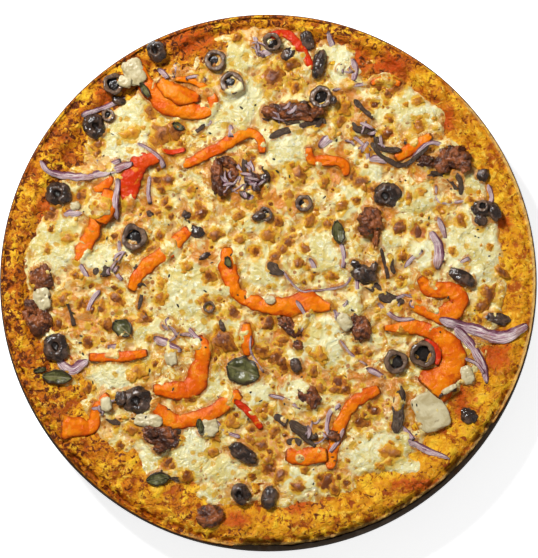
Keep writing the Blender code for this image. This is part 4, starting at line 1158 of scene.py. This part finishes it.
look = Look("dried_mushroom")
fibres = look.noise(2.6, 5, 0.65, 0.3, strip_vector(0.10, 3.0))
dried = look.noise(180, 4, 0.6, 0.4)
edge_share = look.plus(look.math("ABSOLUTE", look.reading("across")), look.times(dried, 0.5))
mushroom_colour = look.painted((0.024, 0.012, 0.007),
                               (fibres, 0.38, 0.62, (0.15, 0.092, 0.05)),
                               (dried, 0.4, 0.66, (0.075, 0.040, 0.026)),
                               (edge_share, 0.9, 1.2, (0.026, 0.016, 0.013)))
browned = look.finish(mushroom_colour, 0.26, (look.plus(fibres, dried), 0.0010, 0.9), 0.50)
for k, (node, widths, stops) in enumerate(MUSHROOMS):
    piece = laid_strip("dried_" + node, stops, widths, MUSHROOM_SLICE, 700 + 5 * k, columns=7,
                       sink=0.4 * MM, arch=0.06, ragged=0.28, taper=0.4)
    dress(piece, browned, node)
scraps = [laid_strip("scrap", stops, widths, MUSHROOM_STRING, 720 + 5 * k, columns=5, sink=0.4 * MM,
                     arch=0.06, ragged=0.34, taper=0.35)
          for k, (widths, stops) in enumerate(MUSHROOM_SHREDS)]
dress(joined(scraps, "mushroom_shreds"), browned)

# The olives: stoned black olives, some cut across into rings and some into halves that lie skin
# up. The oven wrinkled their skins and dried the cut flesh to a dull purple-brown.
# A ring has its centre and radius in photo pixels, any other lump its centre, length, width and
# turn in degrees, and at the end its height in millimetres where it isn't worked out.
OLIVE_HALF_HEIGHT = 6 * MM
ROUNDISH = 1.35
CUP_DEPTH = 0.40
FINE_FROM_PX = 16
OLIVE_RINGS = [
    ("olive_ring_upper_left", 114, 84, 11.0), ("olive_ring_top", 232, 83, 12.0),
    ("olive_ring_upper", 321, 97, 11.5), ("olive_ring_left", 134, 237, 13.0),
    ("olive_ring_middle", 304, 203, 8.5), ("olive_ring_right", 423, 354, 13.5),
    ("olive_ring_right_inner", 396, 362, 12.0)
]
MORE_RINGS = [(108, 115, 6.5), (272, 42, 9.5), (265, 214, 7.5), (209, 307, 6), (215, 60, 11), (482, 206, 6)]
OLIVE_HALVES = [
    ("olive_half_upper_left", 157, 52, 21, 17, 60), ("olive_half_left_top", 94, 126, 25, 21, 60),
    ("olive_half_left", 58, 193, 25, 22, 0), ("olive_half_upper_right", 388, 194, 26, 24, 0),
    ("olive_half_right_edge", 484, 208, 26, 15, 0), ("olive_half_east", 462, 277, 28, 14, 28),
    ("olive_half_centre_right", 364, 274, 25, 17, 20), ("olive_half_low_middle", 243, 453, 30, 15, 30),
    ("olive_half_foot_left", 241, 494, 21, 18, 50), ("olive_half_foot_right", 269, 498, 24, 14, 100),
    ("olive_half_west_low", 56, 347, 28, 25, 90), ("olive_half_south_west", 137, 400, 28, 27, 0),
    ("olive_half_top", 319, 64, 28, 12, 105)
]
MORE_HALVES = [
    (289, 54, 14, 14, 0), (307, 40, 20, 13, 70), (483, 175, 13, 12, 0), (481, 220, 13, 11, 20),
    (495, 213, 16, 12, 70), (355, 264, 9, 7, 40), (374, 267, 9, 7, 120), (498, 319, 24, 11, 10),
    (121, 398, 12, 14, 0), (469, 416, 17, 14, 30), (222, 326, 12, 5, 70), (296, 365, 14, 11, 80),
    (186, 215, 9, 8, 0), (197, 232, 14, 12, 30), (204, 256, 14, 6, 160), (118, 100, 13, 8, 20),
    (303, 102, 10, 7, 40), (246, 196, 14, 8, 30), (259, 216, 12, 9, 150), (264, 178, 10, 9, 0),
    (150, 214, 8, 6, 30), (333, 100, 7, 8, 0)
]


def wrinkles(points, size, seed):
    """Creases: high on the ridges between folds and low in them, read off all three axes."""
    x, y, z = points.T
    first = uneven(x + 0.7 * z, y - 0.6 * z, size, seed)
    second = uneven(y + 0.8 * z, x + 0.5 * z, size * 0.55, seed + 1)
    return 0.5 - np.abs(first) + 0.5 * (0.5 - np.abs(second))


def level_under(points, middle, percent):
    """How high what lies under a piece reaches: the height that this much of it stays under."""
    heights = read_plan(top_surface, points[:, 0] + middle.x, points[:, 1] + middle.y)
    return float(np.percentile(heights, percent))


def dropped_lump(name, px, py, long_px, wide_px, degrees, height, seed, crease=0.75 * MM, size=2.8 * MM,
                 sink=0.2, power=2.3, lumpiness=0.10, cup=0.0):
    """A rounded lump with creased skin, flattened below, laid on what is there already. A cup, in
    parts of its height, is the stone's empty place."""
    piece = primitive(name, bpy.ops.mesh.primitive_ico_sphere_add, radius=1,
                      subdivisions=5 if long_px > FINE_FROM_PX else 4)
    ball = points_of(piece)
    ball = ball / (np.sum(np.abs(ball) ** power, axis=1) ** (1 / power))[:, None]
    outward = ball / np.linalg.norm(ball, axis=1)[:, None]
    points = ball * (long_px * PIXEL / 2, wide_px * PIXEL / 2, height / 2)
    lumps = (uneven(outward[:, 0] * 1.3, outward[:, 1] * 1.3 + outward[:, 2], 1.0, seed)
             + 0.6 * uneven(outward[:, 0] * 2.7 + outward[:, 2], outward[:, 1] * 2.7, 1.0, seed + 2))
    points *= (1 + lumpiness * lumps)[:, None]
    folds = wrinkles(points, size, seed + 1)
    points += outward * (crease * folds)[:, None]
    if cup:
        off_x, off_y = np.random.default_rng(seed + 5).uniform(-0.22, 0.22, 2)
        from_cup = np.hypot(ball[:, 0] - off_x, ball[:, 1] - off_y)
        in_cup = np.clip(ball[:, 2] * 3, 0, 1) * np.exp(-(from_cup / 0.34) ** 4)
        lifted = np.clip(ball[:, 2] * 3, 0, 1) * np.exp(-((from_cup - 0.58) / 0.20) ** 2)
        points[:, 2] += height * (0.10 * lifted - cup * in_cup)
        # painted shade: the cup's fold reading is pulled down so that the material paints it dark
        folds = folds - 1.2 * in_cup
    points[:, 0], points[:, 1] = turned(points[:, 0], points[:, 1], -math.radians(degrees))
    middle = place(px, py)
    level = level_under(points[np.hypot(ball[:, 0], ball[:, 1]) < 0.75], middle, 60)
    points += (middle.x, middle.y, level + height * (0.5 - sink))
    set_points(piece, points)
    store(piece, "fold", folds)
    store(piece, "flesh", np.zeros(len(points)))
    piece.data.shade_smooth()
    lay_down(points)
    return piece


def olive_ring(name, px, py, radius_px, seed):
    """A slice across an olive: a torus squared off, its top the cut flesh, its side the skin."""
    radius = radius_px * PIXEL
    wall = 0.46 * radius
    thick = max(3.0 * MM, 0.72 * radius)
    mid_radius = radius - wall / 2
    piece = primitive(name, bpy.ops.mesh.primitive_torus_add, major_segments=64, minor_segments=28,
                      major_radius=mid_radius, minor_radius=wall / 2)
    points = points_of(piece)
    angle = np.arctan2(points[:, 1], points[:, 0])
    cos, sin = np.cos(angle), np.sin(angle)
    out = (np.hypot(points[:, 0], points[:, 1]) - mid_radius) / (wall / 2)
    up = points[:, 2] / (wall / 2)
    norm = (np.abs(out) ** 3.2 + np.abs(up) ** 3.2) ** (1 / 3.2)
    out, up = out / norm, up / norm
    reach = mid_radius * (1 + 0.14 * uneven(cos * 1.2, sin * 1.2, 1.0, seed))
    reach = reach + out * wall / 2 * (1 + 0.40 * uneven(cos * 1.6, sin * 1.6, 1.0, seed + 1))
    z = up * thick / 2 + 0.35 * MM * uneven(cos * 3, sin * 3, 1.0, seed + 2)
    points = np.stack([reach * cos, reach * sin, z], -1)
    folds = wrinkles(points, 1.8 * MM, seed + 3)
    points[:, 2] += 0.22 * MM * folds
    lean = np.random.default_rng(seed).uniform(-0.24, 0.24, 2)
    points[:, 2] += points[:, 0] * lean[0] + points[:, 1] * lean[1]
    middle = place(px, py)
    level = level_under(points, middle, 55)
    points += (middle.x, middle.y, level + thick * 0.34)
    set_points(piece, points)
    store(piece, "fold", folds)
    store(piece, "flesh", np.clip((up - 0.45) / 0.3, 0, 1) * np.clip((0.86 - out) / 0.25, 0, 1))
    piece.data.shade_smooth()
    # painted shade: a near-black plug sits in the ring's hole where its shade would fall; its low fold
    # reading makes the material paint it dark
    shade_plug = primitive("shade_plug", bpy.ops.mesh.primitive_uv_sphere_add, segments=24, ring_count=12, radius=1)
    ball = points_of(shade_plug)
    hole = (radius - wall) * 1.25
    set_points(shade_plug, ball * (hole, hole, thick * 0.20) + (middle.x, middle.y, level + thick * 0.02))
    store(shade_plug, "fold", np.full(len(ball), -0.6))
    store(shade_plug, "flesh", np.zeros(len(ball)))
    shade_plug.data.shade_smooth()
    piece = joined([piece, shade_plug], name)
    lay_down(points)
    return piece


look = Look("black_olive")
bloom = look.noise(210, 4, 0.62, 0.3)
grit = look.noise(700, 3, 0.6)
flesh_colour = look.painted((0.065, 0.034, 0.020), (bloom, 0.36, 0.62, (0.19, 0.11, 0.065)))
olive_colour = look.painted((0.02, 0.01, 0.006),
                            (bloom, 0.4, 0.68, (0.125, 0.068, 0.042)),
                            # painted shade: near black in the skin's creases, where the fold reading is low
                            (look.reading("fold"), 0.05, -0.35, (0.01, 0.005, 0.003)),
                            (look.reading("flesh"), flesh_colour))
olive_skin = look.finish(olive_colour, 0.13, (look.plus(look.times(bloom, 2.0), grit), 0.0005, 0.8), 0.60)
for k, (node, *spot) in enumerate(OLIVE_RINGS):
    dress(olive_ring("black_" + node, *spot, 900 + 7 * k), olive_skin, node)
for k, (node, *spot) in enumerate(OLIVE_HALVES):
    cup = CUP_DEPTH if spot[2] < ROUNDISH * spot[3] else 0.0
    piece = dropped_lump("black_" + node, *spot, OLIVE_HALF_HEIGHT, 960 + 7 * k, crease=0.42 * MM,
                         size=3.4 * MM, lumpiness=0.14, cup=cup)
    dress(piece, olive_skin, node)
olive_bits = [olive_ring("bit", *spot, 1060 + 7 * k) for k, spot in enumerate(MORE_RINGS)]
olive_bits += [dropped_lump("bit", *spot, (2.2 + 0.12 * spot[3]) * MM, 1110 + 7 * k, crease=0.35 * MM,
                            size=2.4 * MM, lumpiness=0.22) for k, spot in enumerate(MORE_HALVES)]
dress(joined(olive_bits, "olive_bits"), olive_skin)

# The sun-dried tomatoes: leathery dark red pieces, shrunk into folds, oily and burnt along
# their ridges. Each is a lump creased deeper than the olives, half sunk in the cheese.
TOMATOES = [
    ("tomato_upper", 292, 112, 46, 16, 5, 4.5), ("tomato_upper_right", 455, 157, 30, 20, 10, 5.0),
    ("tomato_centre_right", 371, 219, 24, 21, 90, 5.5), ("tomato_west", 37, 318, 30, 25, 70, 4.5),
    ("tomato_lower_left", 161, 437, 35, 18, 5, 4.5), ("tomato_centre", 360, 328, 25, 18, 80, 4.5),
    ("tomato_top_middle", 217, 176, 34, 10, 90, 5.0), ("tomato_foot", 209, 516, 25, 21, 0, 5.0)
]
MORE_TOMATOES = [
    (426, 161, 17, 10, 0), (376, 237, 17, 5, 95), (42, 279, 25, 21, 80), (228, 162, 16, 9, 20),
    (290, 327, 26, 12, 45), (310, 397, 22, 19, 60), (442, 165, 16, 12, 60), (466, 166, 12, 12, 0),
    (30, 306, 14, 9, 60), (150, 432, 14, 9, 30), (233, 174, 14, 10, 100), (252, 178, 16, 11, 30),
    (222, 190, 12, 8, 60), (270, 112, 16, 10, 10), (316, 112, 14, 9, 170), (298, 345, 10, 8, 20),
    (365, 230, 12, 9, 0), (334, 436, 12, 9, 30), (160, 448, 12, 8, 0)
]

look = Look("dried_tomato")
flesh = look.noise(170, 4, 0.62, 0.6)
seeds = look.noise(560, 3, 0.6, 0.4)
charred = look.noise(70, 3, 0.6)
tomato_colour = look.painted((0.050, 0.013, 0.006),
                             (flesh, 0.38, 0.60, (0.27, 0.075, 0.018)),
                             # painted shade: darker in the creases, where the fold reading is low
                             (look.reading("fold"), 0.05, -0.45, (0.026, 0.007, 0.005)),
                             (seeds, 0.6, 0.72, (0.4, 0.15, 0.04)),
                             (charred, 0.5, 0.62, (0.035, 0.012, 0.007), 0.75))
leathery = look.finish(tomato_colour, 0.22, (look.plus(look.times(flesh, 2), seeds), 0.0009, 0.9), 0.40)
for k, (node, *spot, height) in enumerate(TOMATOES):
    piece = dropped_lump("dried_" + node, *spot, height * MM, 1300 + 7 * k, crease=1.3 * MM,
                         size=3.0 * MM, lumpiness=0.28)
    dress(piece, leathery, node)
tomato_bits = [dropped_lump("bit", *spot, (2.4 + 0.08 * spot[3]) * MM, 1370 + 7 * k, crease=0.9 * MM,
                            size=2.2 * MM, lumpiness=0.35) for k, spot in enumerate(MORE_TOMATOES)]
dress(joined(tomato_bits, "tomato_bits"), leathery)

# The onion tangles: the finest shreds fell last, in loose heaps on and beside the other toppings.
# Each heap has its centre and radius in photo pixels, and how many shreds it holds.
ONION_TANGLES = [
    (240, 178, 17, 16), (252, 192, 11, 6), (113, 264, 12, 7), (366, 140, 17, 8), (345, 312, 12, 6),
    (265, 50, 10, 5), (346, 70, 8, 4), (318, 432, 12, 5), (402, 300, 12, 5), (282, 112, 14, 5),
    (178, 328, 12, 5), (108, 404, 10, 4)
]
TANGLE_SHRED = 0.8 * MM
dice = np.random.default_rng(63)
tangles = []
for px, py, spread, count in ONION_TANGLES:
    for _ in range(count):
        away = dice.uniform(0, 1) ** 0.5 * spread
        turn, heading = dice.uniform(0, 2 * math.pi, 2)
        reach, bow = dice.uniform(3.5, 8), dice.uniform(-2.5, 2.5)
        x, y = px + away * math.cos(turn), py + away * math.sin(turn)
        cos, sin = math.cos(heading), math.sin(heading)
        width = dice.uniform(1.1, 2.2)
        stops = [(x - reach * cos, y - reach * sin), (x + bow * sin, y - bow * cos),
                 (x + reach * cos, y + reach * sin)]
        tangles.append(laid_strip("shred", stops, (width, width * 1.2, width), TANGLE_SHRED,
                                  2000 + 5 * len(tangles), columns=4, sink=0.3 * MM, ragged=0.24,
                                  spacing=1.4 * MM, taper=0.4))
dress(joined(tangles, "onion_tangles"), lilac)

# The garlic: pale chunks roasted at their corners, and bits of artichoke the same cream colour; their creases
# are painted darker as shade.
LARGE_CHUNK = (431, 412, 38, 31, 70)
LARGE_CHUNK_HEIGHT = 4 * MM
GARLIC_CHUNKS = [
    (134, 72, 26, 20, 60, 2.6), (171, 358, 14, 11, 80, 3.0), (42, 299, 22, 15, 80, 3.0),
    (467, 375, 18, 13, 70, 3.0), (149, 421, 26, 13, 10, 3.0), (106, 404, 14, 10, 80, 2.8),
    (209, 427, 18, 17, 0, 3.2), (345, 322, 17, 12, 60, 2.8), (125, 82, 14, 10, 20, 2.8),
    (449, 389, 16, 5, 150, 2.4), (75, 206, 9, 8, 0, 2.6), (270, 300, 10, 7, 0, 2.4)
]

look = Look("roast_garlic")
cream = look.noise(160, 4, 0.6, 0.4)
garlic_colour = look.painted((0.60, 0.52, 0.31),
                             (cream, 0.38, 0.64, (0.44, 0.35, 0.17)),
                             # painted shade: browner in the creases, where the fold reading is low
                             (look.reading("fold"), 0.0, -0.5, (0.2, 0.13, 0.055)))
clove = look.finish(garlic_colour, 0.36, (cream, 0.0009, 0.7))
piece = dropped_lump("garlic_chunk", *LARGE_CHUNK, LARGE_CHUNK_HEIGHT, 1560, crease=0.3 * MM,
                     size=5 * MM, sink=0.3, power=7.0)
dress(piece, clove, "garlic_chunk_lower_right")
garlic_bits = [dropped_lump("bit", *spot, height * MM, 1570 + 7 * k, crease=0.5 * MM, size=2.6 * MM,
                            power=3.2, lumpiness=0.18)
               for k, (*spot, height) in enumerate(GARLIC_CHUNKS)]
dress(joined(garlic_bits, "garlic_bits"), clove)

# The leaves: basil wilted flat on the cheese and dried at the edges, and dried herb crumbs.
# A leaf has its centre, length and width in photo pixels and its turn in degrees.
LEAF_THICK = 0.8 * MM
LEAVES = [("leaf_centre", (243, 371), 33, 27, 20), ("leaf_left", (57, 377), 28, 13, 5)]
MORE_LEAVES = [
    ((158, 479), 22, 12, 170), ((122, 328), 20, 17, 40), ((338, 232), 22, 12, 80),
    ((178, 126), 12, 6, 30), ((228, 262), 10, 6, 70), ((40, 370), 12, 4, 170), ((200, 426), 14, 6, 80),
    ((145, 90), 16, 6, 60)
]
HERB_CRUMBS = 110


def laid_leaf(name, middle_px, long_px, wide_px, degrees, seed):
    """A wilted leaf: a fine grid cut to the leaf's outline, folded, laid down and thickened."""
    piece = primitive(name, bpy.ops.mesh.primitive_grid_add, x_subdivisions=30, y_subdivisions=16, size=1)
    grid = points_of(piece)
    u, v = grid[:, 0] * 2, grid[:, 1] * 2
    outline = 0.08 + 0.92 * np.cos(math.pi / 2 * np.abs(u) ** 1.6)
    outline = outline * (1 + 0.18 * uneven(u * 2.4, np.sign(v), 1.0, seed))
    x = u * long_px * PIXEL / 2 * (1 + 0.05 * uneven(v * 2, u, 1.0, seed + 3))
    y = v * outline * wide_px * PIXEL / 2
    middle = place(*middle_px)
    aside, up = turned(x, y, -math.radians(degrees))
    world_x, world_y = middle.x + aside, middle.y + up
    under = eased(np.sort(read_plan(top_surface, world_x, world_y)), 2)
    level = float(np.percentile(under, 70))
    z = 0.55 * read_plan(top_surface, world_x, world_y) + 0.45 * level + 1.1 * MM
    z = z + 0.6 * MM * uneven(world_x, world_y, 5 * MM, seed + 1) + 0.9 * MM * np.abs(v)
    z = z + 1.0 * MM * np.abs(uneven(u * 0.7, v * 3.6, 1.0, seed + 4))
    set_points(piece, np.stack([world_x, world_y, z], -1))
    store(piece, "vein", np.abs(v))
    modify(piece, "SOLIDIFY", thickness=LEAF_THICK, offset=-1.0)
    piece.data.shade_smooth()
    lay_down(points_of(piece))
    return piece


look = Look("wilted_basil")
blotch = look.noise(190, 4, 0.62, 0.5)
vein = look.reading("vein")
leaf_colour = look.painted((0.046, 0.044, 0.013),
                           (blotch, 0.38, 0.62, (0.145, 0.138, 0.045)),
                           (vein, 0.14, 0.0, (0.18, 0.155, 0.075)),
                           (look.plus(vein, blotch), 1.15, 1.5, (0.035, 0.02, 0.01)))
wilted = look.finish(leaf_colour, 0.30, (blotch, 0.0006, 0.8), 0.30)
for k, (node, *leaf) in enumerate(LEAVES):
    dress(laid_leaf("basil_" + node, *leaf, 1700 + 9 * k), wilted, node)
leaf_bits = [laid_leaf("bit", *leaf, 1730 + 9 * k) for k, leaf in enumerate(MORE_LEAVES)]
dress(joined(leaf_bits, "leaf_bits"), wilted)

dice = np.random.default_rng(88)


def crumb_shape(x, y, seed):
    rough = np.random.default_rng(seed)
    long, wide, angle = rough.uniform(0.5, 1.3) * MM, rough.uniform(0.25, 0.6) * MM, rough.uniform(0, math.pi)
    foot = float(read_plan(top_surface, x, y)) + 0.15 * MM

    def shape(ball):
        u, v = turned(ball[:, 0] * long, ball[:, 1] * wide, angle)
        return np.stack([x + u, y + v, foot + ball[:, 2] * 0.3 * MM], -1)
    return shape


crumb_spots = []
while len(crumb_spots) < HERB_CRUMBS:
    x, y = dice.uniform(-RIM_RADIUS, RIM_RADIUS, 2)
    if read_plan(from_cheese_edge, x, y) > 3 * MM:
        crumb_spots.append((x, y))
crumb_shapes = [crumb_shape(x, y, 1800 + k) for k, (x, y) in enumerate(crumb_spots)]
crumbs = many_from_ball("herb_crumbs", 2, crumb_shapes, dice.uniform(0, 1, HERB_CRUMBS))
store(crumbs, "vein", np.ones(len(crumbs.data.vertices)))
dress(crumbs, wilted)

# The cheese rose round what was laid on it: it climbs the sides of each topping, stays under
# the pieces that lie free and runs over the ones that it buried. Both kinds are given by places
# with their centre and half widths in photo pixels.
CREEP = 1.5 * MM
KEPT_CLEAR = [
    (243, 371, 20, 17), (275, 304, 34, 11), (57, 377, 16, 9), (478, 331, 30, 10), (447, 352, 26, 24),
    (210, 150, 30, 14), (232, 178, 24, 20), (345, 425, 14, 24), (434, 250, 12, 24), (400, 158, 34, 12),
    (73, 366, 20, 10), (150, 428, 18, 10), (82, 425, 22, 12), (196, 365, 14, 28)
]
BURIED = [
    (100, 206, 14, 13), (168, 246, 9, 10), (228, 95, 9, 8), (386, 82, 12, 5), (431, 303, 9, 6),
    (205, 92, 10, 6), (345, 84, 10, 5), (112, 356, 8, 4), (250, 206, 8, 8), (128, 204, 7, 8),
    (196, 345, 6, 7), (300, 458, 6, 5), (398, 402, 5, 10), (85, 170, 9, 5), (240, 88, 6, 7)
]
laid = topping_top > 0
near = np.clip(softened(laid.astype(float), 4) * 2.2, 0, 1)
topping_height = softened(np.where(laid, topping_top, ground), 3)
climb = np.clip(topping_height - ground, 0, CREEP) * near * (0.7 + 0.3 * plan_heap(3, 71, 2))
risen = cheese_field + np.where(edge_room > 1.5 * MM, climb, 0)
clear_of = softened(laid.astype(float), 1) > 0.6
risen = np.where(clear_of, np.minimum(risen, np.where(laid, topping_top, 1.0) - 0.5 * MM), risen)
over = patches(BURIED, 2)
buried = (over > 0.5) & (edge_room > 2 * MM)
risen = np.where(buried, np.maximum(risen, topping_height + 0.7 * MM * over), risen)
strands = plan_heap(9, 73, 3)
stands_out = topping_top - ground
thinly_covered = ((stands_out < 2.0 * MM) & (strands > 0.14)) | ((stands_out < 3.2 * MM) & (strands > 0.36))
kept_clear = patches(KEPT_CLEAR, 2) > 0.5
low_lying = laid & ~kept_clear & (edge_room > 3 * MM) & thinly_covered
risen = np.where(low_lying, np.maximum(risen, topping_height + 0.35 * MM), risen)
risen = np.where(edge_room > 1.0 * MM, softened(risen, 1), risen)
sheet = points_of(cheese)
sheet[:sheet_size, 2] = risen[used]
set_points(cheese, sheet)
# painted shade, with oil: how close the cheese lies to a topping it doesn't cover, which the material reads
# to darken it there
shaded = near * (1 - np.clip(softened(((risen > topping_top) & laid).astype(float), 2) * 2.4, 0, 1))
store(cheese, "near", read_plan(shaded, sheet[:, 0], sheet[:, 1]))
